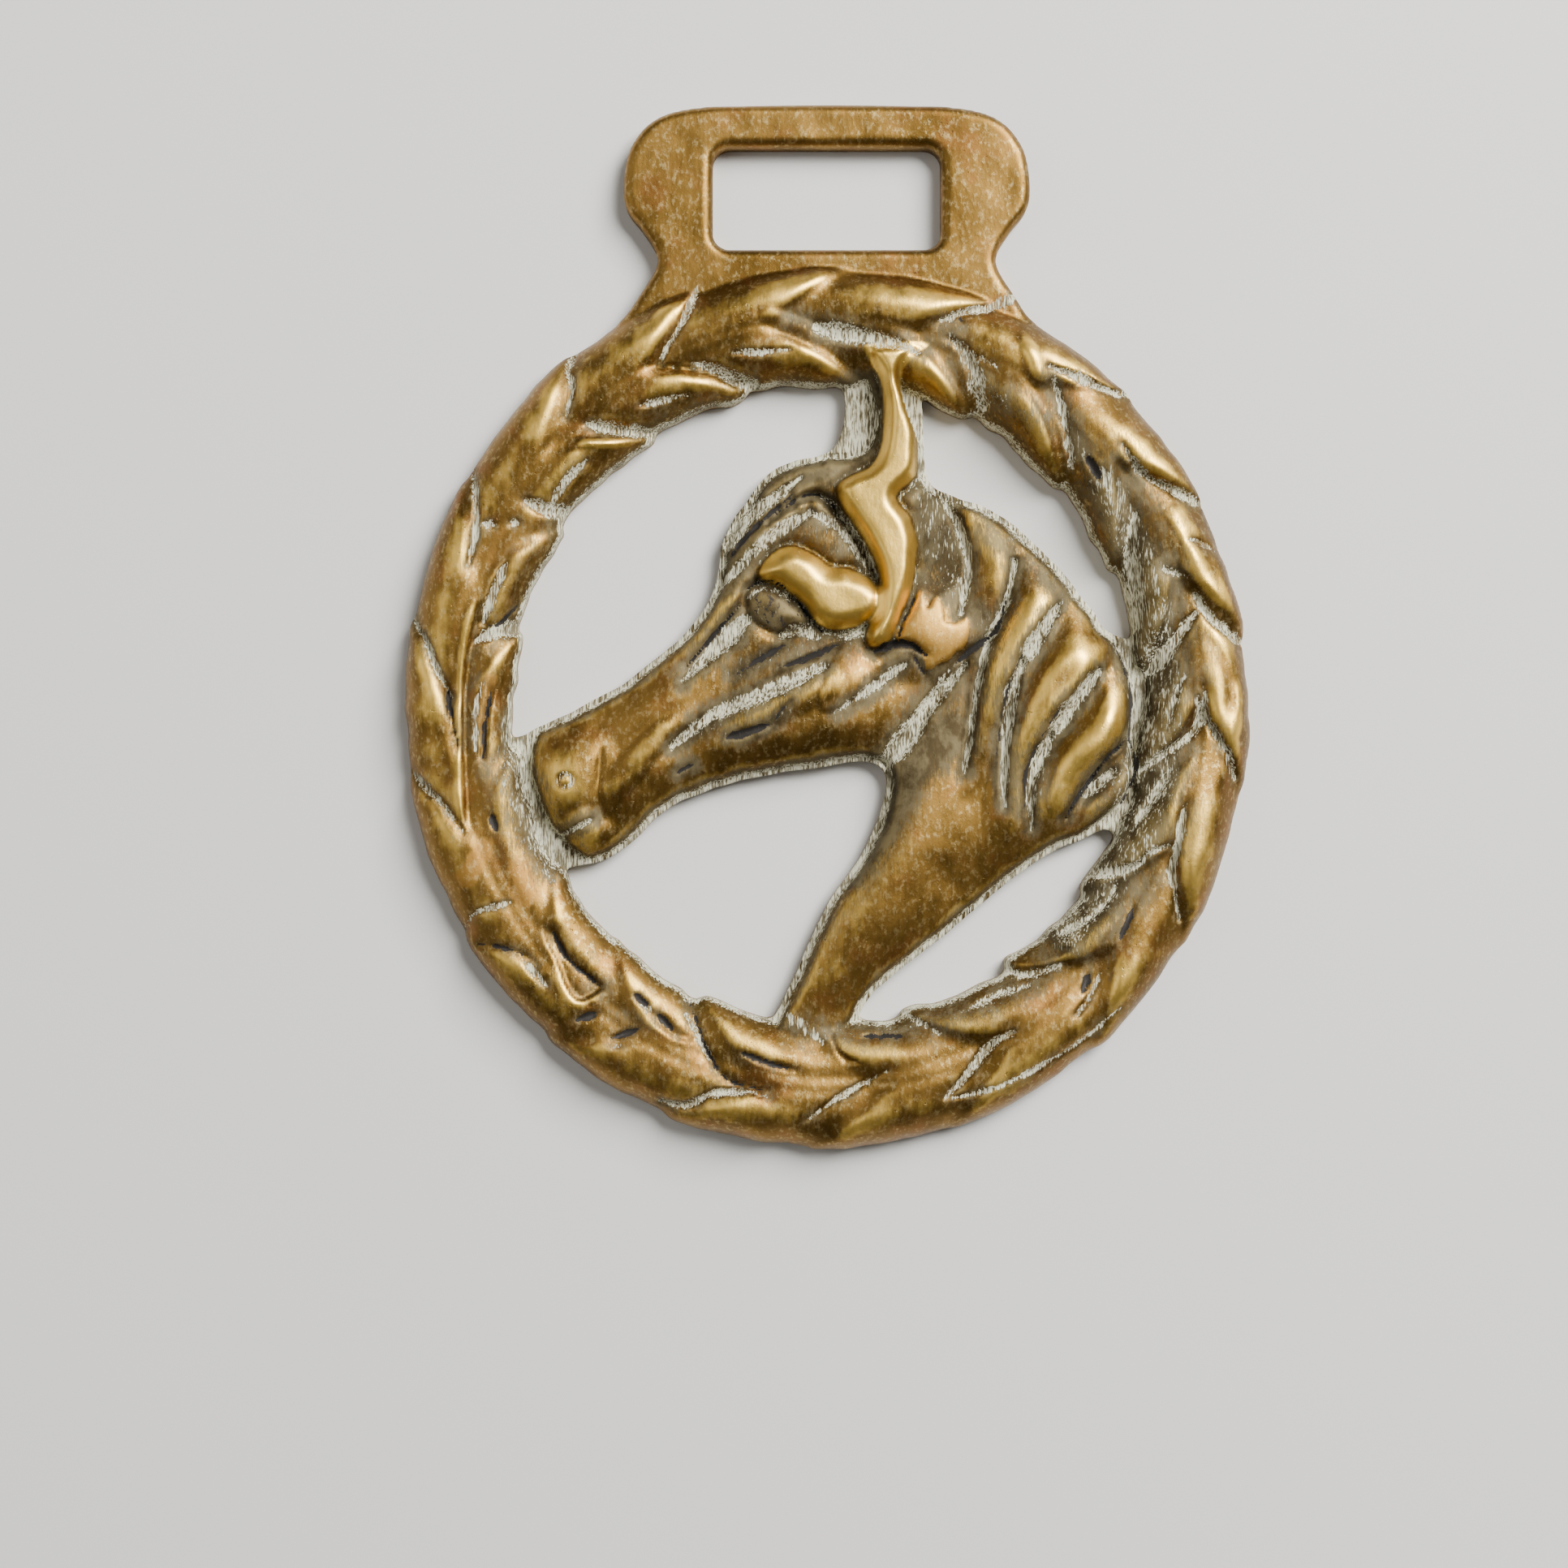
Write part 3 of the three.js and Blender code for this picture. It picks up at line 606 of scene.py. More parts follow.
# %% Cuts on the forehead
HEAD_SOIL = 0.9
FOREHEAD_CUTS = [
    ("bare", 0.7, 1.2, 1.2,
     [(-5.6, 18.0), (-2.6, 20.3), (-0.6, 20.6), (1.1, 19.0), (3.0, 16.4), (4.6, 13.2)]),
    ("dark", 0.3, 0.3, 0.5, [(-4.6, 19.0), (-2.6, 20.5), (-0.8, 20.8), (0.8, 19.6)]),
    ("pale", 0.4, 0.7, 1.3, [(-10.6, 11.6), (-5.4, 16.7), (-1.6, 19.0)]),
    ("pale", 0.5, 1.2, 0.5, [(-1.6, 19.2), (1.0, 17.7), (3.8, 13.9)]),
    ("pale", 0.9, 1.1, 0.9, [(-9.6, 15.4), (-7.0, 18.8), (-2.4, 22.4)]),
    ("dark", 0.5, 0.4, 0.3, [(-9.8, 13.8), (-7.4, 17.0), (-3.2, 20.8)]),
]
carve("on the forehead", face, HEAD_SOIL, FOREHEAD_CUTS)

# %% Cuts beside the nose and round the eye
EYE_CUTS = [
    ("pale", 1.0, 0.3, 2.6, [(-13.6, 3.3), (-11.2, 5.6), (-7.6, 9.0)]),
    ("dark", 0.5, 0.4, 0.3, [(-13.2, 4.6), (-10.8, 7.4), (-8.2, 10.4)]),
    ("dark", 0.3, 0.5, 0.6, [(-8.9, 3.7), (-6.6, 5.2), (-3.9, 6.8)]),
    ("dark", 0.35, 0.5, 0.8, [(-4.5, 4.6), (-1.6, 5.6), (1.0, 6.8)]),
    ("pale", 0.6, 1.0, 1.2, [(-4.2, 7.6), (-2.6, 8.2), (-0.9, 7.4)]),
    ("pale", 0.6, 1.0, 0.8, [(1.2, 7.6), (2.6, 7.9), (3.8, 8.8)]),
    ("dark", 0.5, 0.3, 0.3,
     [(-7.4, 12.0), (-6.2, 12.7), (-4.6, 12.5), (-3.0, 11.2), (-1.6, 9.4), (-0.4, 8.0)]),
    ("pale", 0.25, 0.45, 0.3, [(-7.3, 11.1), (-6.3, 11.9), (-4.9, 11.8), (-3.6, 11.0)]),
]
carve("beside the nose and round the eye", face, HEAD_SOIL, EYE_CUTS)

# %% Cuts on the cheek and jaw
CHEEK_CUTS = [
    ("pale", 0.7, 0.9, 1.6, [(-14.4, -2.7), (-10.7, 0.1), (-5.4, 2.4), (-0.4, 4.7)]),
    ("dark", 0.35, 0.9, 0.7, [(-9.2, -1.9), (-7.2, -1.3), (-5.4, -0.7)]),
    ("dark", 0.25, 0.3, 0.3, [(-5.0, -0.6), (-4.4, 0.4), (-3.4, 1.6)]),
    ("dark", 0.2, 0.5, 0.5, [(-13.9, -5.1), (-12.6, -4.4)]),
    ("pale", 0.5, 0.5, 1.1, [(0.7, 0.4), (3.7, 2.4), (7.3, 5.0)]),
    ("dark", 0.5, 1.1, 0.7, [(4.4, 6.1), (6.2, 6.8), (7.8, 6.7), (9.2, 5.8)]),
    ("dark", 0.3, 0.3, 0.2, [(7.8, 6.0), (8.6, 4.8), (9.2, 3.9)]),
    ("dark", 0.25, 0.25, 0.2, [(6.7, 7.6), (7.2, 9.2), (8.2, 11.2)]),
    ("pale", 1.2, 2.6, 0.7, [(5.2, -4.4), (7.4, -2.0), (9.6, 1.2), (13.0, 5.0)]),
    ("pale", 0.3, 0.6, 0.5, [(8.8, 0.6), (10.6, 3.4), (11.4, 4.4)]),
    # The next two dark cuts are painted shadow where the jaw meets the mane, laid in black like tarnish.
    ("dark", 0.5, 0.5, 0.9, [(11.9, 5.0), (13.6, 6.4), (15.0, 7.4)]),
    ("dark", 0.4, 0.6, 0.3, [(15.2, 7.4), (16.2, 9.0), (16.7, 11.1)]),
]
carve("on the cheek and jaw", face, HEAD_SOIL, CHEEK_CUTS)

# %% Cuts in the mane
MANE_CUTS = [
    ("pale", 0.9, 0.9, 0.8, [(10.9, 20.4), (12.6, 17.4), (13.2, 14.3), (12.5, 9.6)]),
    ("pale", 1.1, 0.7, 0.6,
     [(17.5, 14.6), (16.9, 11.2), (15.2, 7.4), (14.1, 3.4), (13.3, -2.3), (12.8, -5.2)]),
    ("pale", 1.3, 0.7, 1.9, [(21.8, 10.8), (19.9, 8.0), (18.2, 5.2)]),
    ("pale", 1.1, 1.7, 0.4, [(18.2, 5.2), (17.1, 2.2), (16.7, -0.7), (16.4, -4.2), (16.5, -8.4)]),
    ("pale", 1.3, 1.0, 1.7, [(25.3, 4.3), (22.9, 1.4), (20.7, -1.7)]),
    ("pale", 1.1, 1.6, 0.5, [(20.7, -1.7), (19.4, -4.2), (18.9, -7.2), (19.0, -10.4)]),
    ("dark", 0.2, 0.2, 0.3, [(18.4, 6.4), (17.0, 3.2), (16.1, -0.6), (15.8, -4.6)]),
    ("dark", 0.2, 0.2, 0.3, [(21.4, 0.6), (19.6, -2.4), (18.4, -5.4), (18.2, -9.0)]),
    ("dark", 0.7, 0.6, 0.4, [(28.0, -2.1), (26.0, -3.9), (23.4, -7.4), (22.2, -9.4)]),
    ("pale", 0.8, 1.1, 0.9, [(24.1, -7.4), (25.6, -5.9), (27.0, -4.8)]),
]
carve("in the mane", face, HEAD_SOIL, MANE_CUTS)

# %% Cuts at the mouth and the nape
MOUTH_AND_NAPE_CUTS = [
    ("pale", 0.7, 0.6, 0.5, [(-25.2, -11.3), (-23.4, -10.3), (-21.7, -9.4)]),
    ("bare", 0.25, 0.9, 0.9, [(-21.0, -3.1), (-21.2, -6.4), (-21.0, -9.6)]),
    ("dark", 0.3, 0.3, 0.5, [(26.8, 7.0), (28.4, 2.6), (28.3, -1.6), (28.9, -4.6), (27.6, -8.0)]),
]
carve("at the mouth and the nape", face, HEAD_SOIL, MOUTH_AND_NAPE_CUTS)

# %% Hollow behind the ear, and the nostril
HOLLOW_DEPTH = 1.3
NOSTRIL_X, NOSTRIL_Y = -24.3, -5.9
NOSTRIL_RADIUS = 0.6
NOSTRIL_DEPTH = 0.25
hollow = np.clip(1-((X-10.4)/3.0)**2-((Y-16.6)/5.2)**2, 0, 1)**0.8
hollow *= ramp(0.0, 0.8, -ear_depth)
face -= HOLLOW_DEPTH*hollow*wall
nostril = np.abs(np.hypot(X-NOSTRIL_X, Y-NOSTRIL_Y)-NOSTRIL_RADIUS)
face -= NOSTRIL_DEPTH*np.exp(-(nostril/0.2)**2)
fill(RESIDUE, EVERYWHERE, 0.75*np.exp(-(nostril/0.28)**2))
fill(GRIME, EVERYWHERE, hollow)
print("highest point of the head", round(float(face[METAL > 0].max()), 2), "mm")

# %% [markdown]
# ## Where old grime lies
# Handling never reaches the broad hollows beside the ear, under the eye, along the jaw and on
# the inner leaves. Their grime, with a little pale dirt in it, is a soft bed along a line, and
# it has no depth of its own. Places that are worn to a warmer metal are laid down the same way.

# %% Beds of grime on the head


def bed(half, points):
    """The patch round a line, and how much of a soft bed lies at each point of the patch."""
    line = smooth_line(points)
    where = near(line, 2*half)
    gap = measure(line, X[where], Y[where])[0]
    return where, np.exp(-(gap/half)**2)


def lay_grime(place, beds):
    for amount, pale, half, points in beds:
        where, share = bed(half, points)
        fill(GRIME, where, amount*share)
        fill(RESIDUE, where, pale*share)
    print("beds of grime", place+":", len(beds))


# grime, pale dirt in it, half-width, line
HEAD_GRIME = [
    (1.0, 0.4, 2.6, [(9.4, 21.0), (10.8, 16.0), (11.6, 12.5)]),
    (0.7, 0.3, 1.8, [(-4.4, 16.6), (0, 17.0), (2.8, 14.6)]),
    (1.2, 0.16, 2.8, [(-9.8, 13.0), (-6.4, 18.6), (-1.6, 22.6), (2.4, 25.0), (3.2, 30.0)]),
    (0.75, 0.1, 3.0, [(13.6, 19.4), (16.0, 16.6), (21.6, 12.4)]),
    (0.5, 0.1, 1.6, [(14.2, 14.4), (14.0, 6.6)]),
    (0.9, 0.3, 1.9, [(9.2, 12.6), (12.0, 11.4), (14.6, 9.2), (14.9, 6.4)]),
    (0.7, 0.3, 2.2, [(-13.5, 4.0), (-8.0, 9.0)]),
    (0.8, 0.3, 1.2, [(0.2, 16.0), (2.6, 14.8)]),
    (0.8, 0.3, 2.4, [(-5.9, 9.9), (-3.8, 10.6)]),
    (0.75, 0.3, 2.2, [(-9.0, 4.2), (-3.0, 6.4), (2.4, 7.2)]),
    (0.7, 0.3, 1.8, [(-13.4, -2.2), (-7.0, 1.3), (-1.0, 4.2)]),
    (0.6, 0.3, 1.6, [(-9.4, -2.0), (-3.6, 0.6)]),
    (0.6, 0.3, 1.8, [(0.8, 0.4), (7.6, 5.0)]),
    (0.9, 0.3, 2.8, [(4.6, -5.0), (9.4, 0.8), (13.4, 6.2)]),
    (1.1, 0.12, 3.0, [(11.5, -1.5), (7.4, -5.5), (5.0, -9.5), (2.2, -14.0)]),
    (0.6, 0.12, 2.6, [(2.2, -14.0), (-1.0, -20.0)]),
    (0.6, 0.3, 1.9, [(10.0, 20.6), (15.5, 18.2), (21.0, 13.4), (26.4, 7.4)]),
    (0.6, 0.3, 1.5, [(16.6, 11.0), (14.2, 3.2), (13.0, -4.8)]),
    (0.6, 0.3, 1.8, [(21.0, 10.0), (17.2, 2.6), (16.5, -7.4)]),
    (0.7, 0.3, 1.8, [(25.2, 4.0), (20.6, -2.0), (18.9, -9.4)]),
    (0.9, 0.3, 1.9, [(26.6, 7.0), (28.6, 2.2), (28.4, -3.4), (26.0, -9.6)]),
    (1.0, 0.5, 3.0, [(29.6, 9.0), (30.2, 1.0), (27.8, -9.6)]),
    (0.9, 0.5, 2.6, [(-28.8, -1.0), (-28.6, -8.0), (-25.4, -13.6)]),
]
lay_grime("on the head", HEAD_GRIME)

# %% Beds of grime on the wreath
WREATH_GRIME = [
    (1.2, 0.45, 2.4, [(25.6, 22.0), (28.6, 16.0), (30.8, 8.0), (31.4, -2.0), (28.6, -12.0), (22.4, -20.4)]),
    (0.7, 0.25, 3.6, [(26.6, 24.0), (30.6, 16.0), (32.6, 8.0), (32.4, -2.0), (30.4, -12.0), (24.0, -21.0)]),
    (0.8, 0.3, 1.6, [(20.6, 31.6), (22.8, 26.6), (24.6, 22.4)]),
    (0.7, 0.3, 2.4, [(21.0, -23.0), (14.0, -27.4), (4.0, -29.4), (-3.0, -29.0)]),
    (0.8, 0.3, 2.2, [(-3.0, 36.6), (2.0, 35.6), (8.6, 34.0)]),
    (0.7, 0.3, 2.4, [(11.4, 36.6), (13.4, 31.6), (21.0, 27.0)]),
    (0.45, 0.12, 2.6, [(-25.6, -20.0), (-19.0, -26.6), (-9.0, -31.6)]),
    (0.5, 0.12, 2.2, [(-24.0, 20.6), (-29.6, 12.4), (-32.2, 6.0), (-31.8, -4.0), (-30.6, -12.0)]),
    (0.45, 0.12, 2.0, [(-7.0, 32.0), (-14.0, 29.4), (-20.0, 26.6)]),
]
lay_grime("on the wreath", WREATH_GRIME)

# %% Worn places, and grime of the eye and the edge of the head
# half-width, line
WORN_PLACES = [
    (1.6, [(-28.6, -14.6), (-28.2, -16.4)]),
    (1.2, [(25.6, -6.4), (27.4, -7.6)]),
    (1.3, [(-31.6, -12.0), (-33.6, -15.0)]),
    (0.9, [(-31.4, 3.6), (-32.2, -1.0)]),
    (0.9, [(-13.0, -30.0), (-11.6, -32.6)]),
]
for half, points in WORN_PLACES:
    where, share = bed(half, points)
    fill(WORN, where, 0.8*share)
head_edge = ramp(0, 1.4, head_depth+0.2)*ramp(2.2, 0.4, head_depth)*(bore_depth < 0)
eye = ramp(-0.2, 0.5, eye_depth)
fill(GRIME, EVERYWHERE, 0.8*head_edge)
fill(GRIME, EVERYWHERE, 1.3*eye)
fill(TARNISH_AND_SHADOW, EVERYWHERE, 0.38*eye)
print("grime covers", round(float((GRIME > 0.5).sum()*BOARD**2)), "square mm")

# %% [markdown]
# ## Putting the forms together
# The head's ground runs out to the wreath as a thin web. Where two forms meet, the higher one
# wins with a small fillet between them, as loose sand leaves it in a mould.

# %% Whole face
HANGER_HEIGHT = 2.8
EDGE_ROUND = 0.9
TALLEST = 6.0
THINNEST = 1.1
FILLET = 0.5
HANGER_JOINT = 0.3
face = np.where(inset > -0.1, face, WEB_HEIGHT)
head_and_wreath = soft_max(wreath, face, FILLET)
HEIGHT = np.where(bore_depth > -0.2, head_and_wreath, face)
flat_loop = HANGER_HEIGHT-EDGE_ROUND*(1-dome(METAL/EDGE_ROUND))
join = soft_max(flat_loop, np.where(ring_depth > 0, wreath, 0), HANGER_JOINT)
in_hanger = hanger_depth > -0.3
HEIGHT = np.where(in_hanger, np.where(ring_depth > -0.6, join, flat_loop), HEIGHT)
HEIGHT = np.where((ring_depth > 2.0) & in_hanger, head_and_wreath, HEIGHT)
HEIGHT = soft_min(HEIGHT+0.015*WOBBLE, TALLEST, 0.3)
HEIGHT = np.maximum(HEIGHT, THINNEST)
print("highest point", round(float(HEIGHT[METAL > 0].max()), 2), "mm")

# %% [markdown]
# ## Where dirt and polish lie
# Polishing reaches the high places and leaves the low ones, so the height less its own soft
# average tells both. The average is taken over metal only, or every edge would look high.

# %% Dirt and polish
on_metal = (METAL > 0).astype(float)


def over_average(reach):
    average = blur(HEIGHT*on_metal, reach)/np.maximum(blur(on_metal, reach), 1e-3)
    return HEIGHT-average


close_relief = over_average(0.6)
broad_relief = over_average(2.0)
low_ground = ramp(2.5, 1.9, HEIGHT)*ramp(0.8, 1.6, ring_depth)*(hanger_depth < 1)
hollows = 0.75*ramp(0.12, 0.45, -close_relief)+0.5*ramp(0.6, 1.3, -broad_relief)
hollows *= ramp(0.3, 1.2, ring_depth)
HEAD_DIRT, WEB_DIRT = 0.45, 1.15
low_dirt = np.where(inset > -0.6, HEAD_DIRT, WEB_DIRT)*low_ground
RESIDUE = np.maximum(RESIDUE, np.clip(0.5*hollows+low_dirt, 0, 1.3))
GRIME = np.clip(np.maximum(GRIME*(1-POLISHED), 0.7*low_ground), 0, 1)
print("pale dirt covers", round(float((RESIDUE*on_metal > 0.5).sum()*BOARD**2)), "square mm")

# %% Bright and shaded metal
HIGHS = 0.5*ramp(0.0, 0.2, close_relief)+0.5*ramp(0.0, 0.8, broad_relief)
HIGHS = np.maximum(HIGHS, POLISHED)
foot_of_wall = np.exp(-((inset-0.25)/0.55)**2)*(bore_depth < 0.6)
SHADE = 0.7*ramp(-0.05, 0.8, -broad_relief)*ramp(0.5, 3.0, ring_depth)+0.4*hollows
SHADE = np.clip(SHADE+0.6*foot_of_wall, 0, 1)
print("bright metal covers", round(float((HIGHS*on_metal > 0.5).sum()*BOARD**2)), "square mm")

# %% [markdown]
# ## Casting the mesh
# The board's height becomes metal in four steps: a grid is made, its squares over air are
# deleted, the points on the new rim are slid on to the true outline, and every point is lifted
# to its height. The rim is then extruded down to the flat back, and the back is filled.

# %% Casting the mesh
CELL = 0.232
GRID_WIDTH, GRID_HEIGHT = 84.0, 100.6
COLUMNS = int(GRID_WIDTH/CELL)
ROWS = int(GRID_HEIGHT/CELL)
GRID_MIDDLE = 8.2
casting = bmesh.new()
place = Matrix.Translation((0, GRID_MIDDLE, 0)) @ Matrix.Diagonal((COLUMNS*CELL/2, ROWS*CELL/2, 1, 1))
bmesh.ops.create_grid(casting, x_segments=COLUMNS, y_segments=ROWS, size=1.0, matrix=place)


def sample(field, x, y):
    """The value of a board field between its four nearest board points."""
    column = np.clip((x-across[0])/BOARD, 0, len(across)-1.001)
    row = np.clip((y-upward[0])/BOARD, 0, len(upward)-1.001)
    c, r = column.astype(int), row.astype(int)
    u, v = column-c, row-r
    below = field[r, c]*(1-u)+field[r, c+1]*u
    above = field[r+1, c]*(1-u)+field[r+1, c+1]*u
    return below*(1-v)+above*v


def places(verts):
    return np.array([v.co[:2] for v in verts]).T


inside_by = sample(METAL, *places(casting.verts))
over_air = [f for f in casting.faces if sum(inside_by[v.index] for v in f.verts) <= 0]
bmesh.ops.delete(casting, geom=over_air, context="FACES")
print("squares of metal:", len(casting.faces))

# %% Trim to the outline
rim = [v for v in casting.verts if v.is_boundary]
slope_up, slope_across = np.gradient(METAL, BOARD)
TRIM_ROUNDS = 3
FLATTEST = 0.3
for _ in range(TRIM_ROUNDS):
    x, y = places(rim)
    lean_x, lean_y = sample(slope_across, x, y), sample(slope_up, x, y)
    depth = sample(METAL, x, y)/np.maximum(lean_x**2+lean_y**2, FLATTEST)
    depth = np.clip(depth, -CELL, CELL)
    for v, dx, dy in zip(rim, depth*lean_x, depth*lean_y):
        v.co.x -= dx
        v.co.y -= dy
still_off = np.abs(sample(METAL, *places(rim))).max()
print("rim points are within", round(float(still_off), 3), "mm of the outline")

# %% Lift to height
x, y = places(casting.verts)
for v, z in zip(casting.verts, sample(HEIGHT, x, y)):
    v.co.z = z
DRESSINGS = {"residue": RESIDUE, "tarnish_and_shadow": TARNISH_AND_SHADOW, "highs": HIGHS, "shade": SHADE,
             "grime": GRIME, "worn": WORN}
for name, field in DRESSINGS.items():
    layer = casting.verts.layers.float.new(name)
    for v, value in zip(casting.verts, sample(field, x, y)):
        v[layer] = value
print("attributes of the finish:", ", ".join(DRESSINGS))

# %% Walls and back
# Little of the face's dirt and polish reaches the plain back.
DIRT_ON_BACK = 0.2
rim_edges = [e for e in casting.edges if e.is_boundary]
walls = bmesh.ops.extrude_edge_only(casting, edges=rim_edges)["geom"]
foot = [v for v in walls if isinstance(v, bmesh.types.BMVert)]
layers = [casting.verts.layers.float[name] for name in DRESSINGS]
for v in foot:
    v.co.z = 0
    for layer in layers:
        v[layer] *= DIRT_ON_BACK
back_edges = [e for e in walls if isinstance(e, bmesh.types.BMEdge)]
bmesh.ops.triangle_fill(casting, use_beauty=True, edges=back_edges)
bmesh.ops.recalc_face_normals(casting, faces=casting.faces)
bmesh.ops.scale(casting, vec=(MM, MM, MM), verts=casting.verts)
for f in casting.faces:
    f.smooth = True
for e in back_edges:
    e.smooth = False
print("triangles:", sum(len(f.verts)-2 for f in casting.faces))
print("open edges:", sum(1 for e in casting.edges if not e.is_manifold))

# %% Place the casting
mesh = bpy.data.meshes.new("cast_horse_brass")
casting.to_mesh(mesh)
casting.free()
brass = bpy.data.objects.new("cast_horse_brass", mesh)
bpy.context.collection.objects.link(brass)
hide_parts("horse_brass")
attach(brass, "root")
print("brass stands", round(brass.dimensions.z/MM, 2), "mm high")

# %% [markdown]
# ## Writing a finish
# A node tree is easier to read as sums. Value wraps a socket and turns +, - and * into Math
# nodes, and Finish makes any other node in one line.

# %% Writing a finish
class Value:
    """A shader socket that can be used in sums."""

    def __init__(self, finish, socket):
        self.finish = finish
        self.socket = socket

    def maths(self, operation, first, second):
        return self.finish.node("ShaderNodeMath", {"operation": operation}, [first, second])

    def __add__(self, other):
        return self.maths("ADD", self, other)

    def __sub__(self, other):
        return self.maths("SUBTRACT", self, other)

    def __rsub__(self, other):
        return self.maths("SUBTRACT", other, self)

    def __mul__(self, other):
        return self.maths("MULTIPLY", self, other)

    __radd__ = __add__
    __rmul__ = __mul__


class Finish:
    """A material, written node by node."""

    def __init__(self, name):
        self.material = bpy.data.materials.new(name)
        self.material.use_nodes = True
        self.tree = self.material.node_tree
        self.tree.nodes.clear()

    def node(self, kind, settings=None, inputs=(), output=0):
        made = self.tree.nodes.new(kind)
        for key, value in (settings or {}).items():
            setattr(made, key, value)
        named = inputs.items() if isinstance(inputs, dict) else enumerate(inputs)
        for key, value in named:
            socket = made.inputs[key]
            if isinstance(value, Value):
                self.tree.links.new(value.socket, socket)
            else:
                socket.default_value = value
        return Value(self, made.outputs[output]) if made.outputs else made

    def attribute(self, name):
        return self.node("ShaderNodeAttribute", {"attribute_name": name}, output="Fac")

    def ramp(self, value, low, high):
        """0 below low, 1 above high, and a smooth rise between them."""
        return self.node("ShaderNodeMapRange", {"interpolation_type": "SMOOTHSTEP"},
                         {"Value": value, "From Min": low, "From Max": high})

    def mix(self, factor, a, b):
        """Colour a where the factor is 0, and colour b where it is 1."""
        return self.node("ShaderNodeMix", {"data_type": "RGBA"},
                         {"Factor": factor, 6: a, 7: b}, output=2)

    def grain(self, size, stretch=1.0, detail=5, rough=0.6):
        """Noise with grains of so many millimetres across, drawn out along Y by stretch."""
        scale = 1/(size*MM)
        place = self.node("ShaderNodeTexCoord", output="Object")
        place = self.node("ShaderNodeMapping", {},
                          {"Vector": place, "Scale": (scale, scale/stretch, scale)})
        return self.node("ShaderNodeTexNoise", {"noise_dimensions": "3D"},
                         {"Vector": place, "Scale": 1.0, "Detail": detail, "Roughness": rough},
                         output="Fac")


def rgb(red, green, blue):
    """A paint colour from 0 to 255, as the shader's linear light."""
    shares = [c/255 for c in (red, green, blue)]
    return (*[c/12.92 if c <= 0.04045 else ((c+0.055)/1.055)**2.4 for c in shares], 1)


# %% [markdown]
# ## The old brass
# Under everything is yellow brass. A brown film dulls its low and flat parts and painted shade darkens the
# low ones further, polishing cloths keep the high parts bright, dried polish fills the cuts with a pale
# grey crust, and black tarnish stays in the deepest ones, while the same black paints the shadow in a few
# narrow cuts. The crust was brushed up and down, so its edge is hairy in that direction, and a noise drawn
# out along Y gives that.

# %% Grains of the finish
metal = Finish("old_brass")
cloud = metal.grain(7.0, 1.3, 4)
blotch = metal.grain(1.8, 1.4, 5)
hair = metal.grain(0.15, 7.5, 3, 0.55)
brush = metal.grain(0.45, 7.0, 4, 0.65)
speck = metal.grain(0.45, 1.5, 6, 0.7)
pit = metal.grain(0.35, 1.0, 2)
warmth = metal.grain(4.0, 1.0, 3)
print("nodes for the grains:", len(metal.tree.nodes))

# %% Masks of the finish
residue = metal.attribute("residue")
hairy = ((hair-0.5)*2.4+(brush-0.5)*1.2+(blotch-0.5)*0.8)*metal.ramp(residue, 0.05, 0.4)
grime = metal.ramp(metal.attribute("grime")+(hair-0.5)*0.9+(brush-0.5)*0.5+(blotch-0.5)*1.0, 0.25, 0.85)
crust = metal.ramp(residue+hairy, 0.50, 0.92)
# Black tarnish, which in a few dark cuts is painted shadow.
black = metal.ramp(metal.attribute("tarnish_and_shadow")+(speck-0.5)*1.8+(brush-0.5)*1.2, 0.44, 0.64)
bright = metal.ramp(metal.attribute("highs")+(blotch-0.5)*0.9+(brush-0.5)*0.3, 0.22, 0.95)
shade = metal.ramp(metal.attribute("shade")+(blotch-0.5)*1.0+(brush-0.5)*0.4, 0.1, 0.9)
worn = metal.ramp(metal.attribute("worn")+(blotch-0.5)*0.8+(brush-0.5)*0.5, 0.35, 0.65)
pits = metal.ramp(pit+(cloud-0.5)*0.3, 0.32, 0.25)
print("nodes with the masks:", len(metal.tree.nodes))

# %% Paints of the finish
DARK_FILM, LIGHT_FILM = rgb(104, 78, 34), rgb(136, 104, 50)
WARM_FILM = rgb(136, 90, 46)
POLISHED_BRASS = rgb(240, 198, 96)
WORN_BRASS = rgb(168, 124, 60)
SHADED_BRASS = rgb(78, 62, 28)
GLINT = rgb(250, 226, 160)
PIT = rgb(70, 54, 32)
DARK_DIRT, LIGHT_DIRT = rgb(68, 60, 41), rgb(110, 100, 74)
OLD_CRUST, DRY_CRUST = rgb(104, 95, 70), rgb(206, 202, 174)
# The black of tarnish also paints the shadow in a few dark cuts.
BLACK_TARNISH_AND_SHADOW = rgb(48, 44, 40)
film = metal.mix(metal.ramp(cloud+(brush-0.5)*0.25, 0.35, 0.65), DARK_FILM, LIGHT_FILM)
film = metal.mix(metal.ramp(warmth, 0.5, 0.7)*0.5, film, WARM_FILM)
ground = metal.mix(bright, film, POLISHED_BRASS)
ground = metal.mix(worn*0.8, ground, WORN_BRASS)
ground = metal.mix(shade*0.8, ground, SHADED_BRASS)
ground = metal.mix(metal.ramp(speck, 0.50, 0.66)*0.22, ground, GLINT)
ground = metal.mix(pits*0.6, ground, PIT)
dirt = metal.mix(metal.ramp(blotch, 0.4, 0.6), DARK_DIRT, LIGHT_DIRT)
ground = metal.mix(grime*0.9, ground, dirt)
pale = metal.mix(metal.ramp(hair+(blotch-0.5)*0.6, 0.40, 0.62), OLD_CRUST, DRY_CRUST)
colour = metal.mix(crust, ground, pale)
colour = metal.mix(black, colour, BLACK_TARNISH_AND_SHADOW)
print("nodes with the paints:", len(metal.tree.nodes))

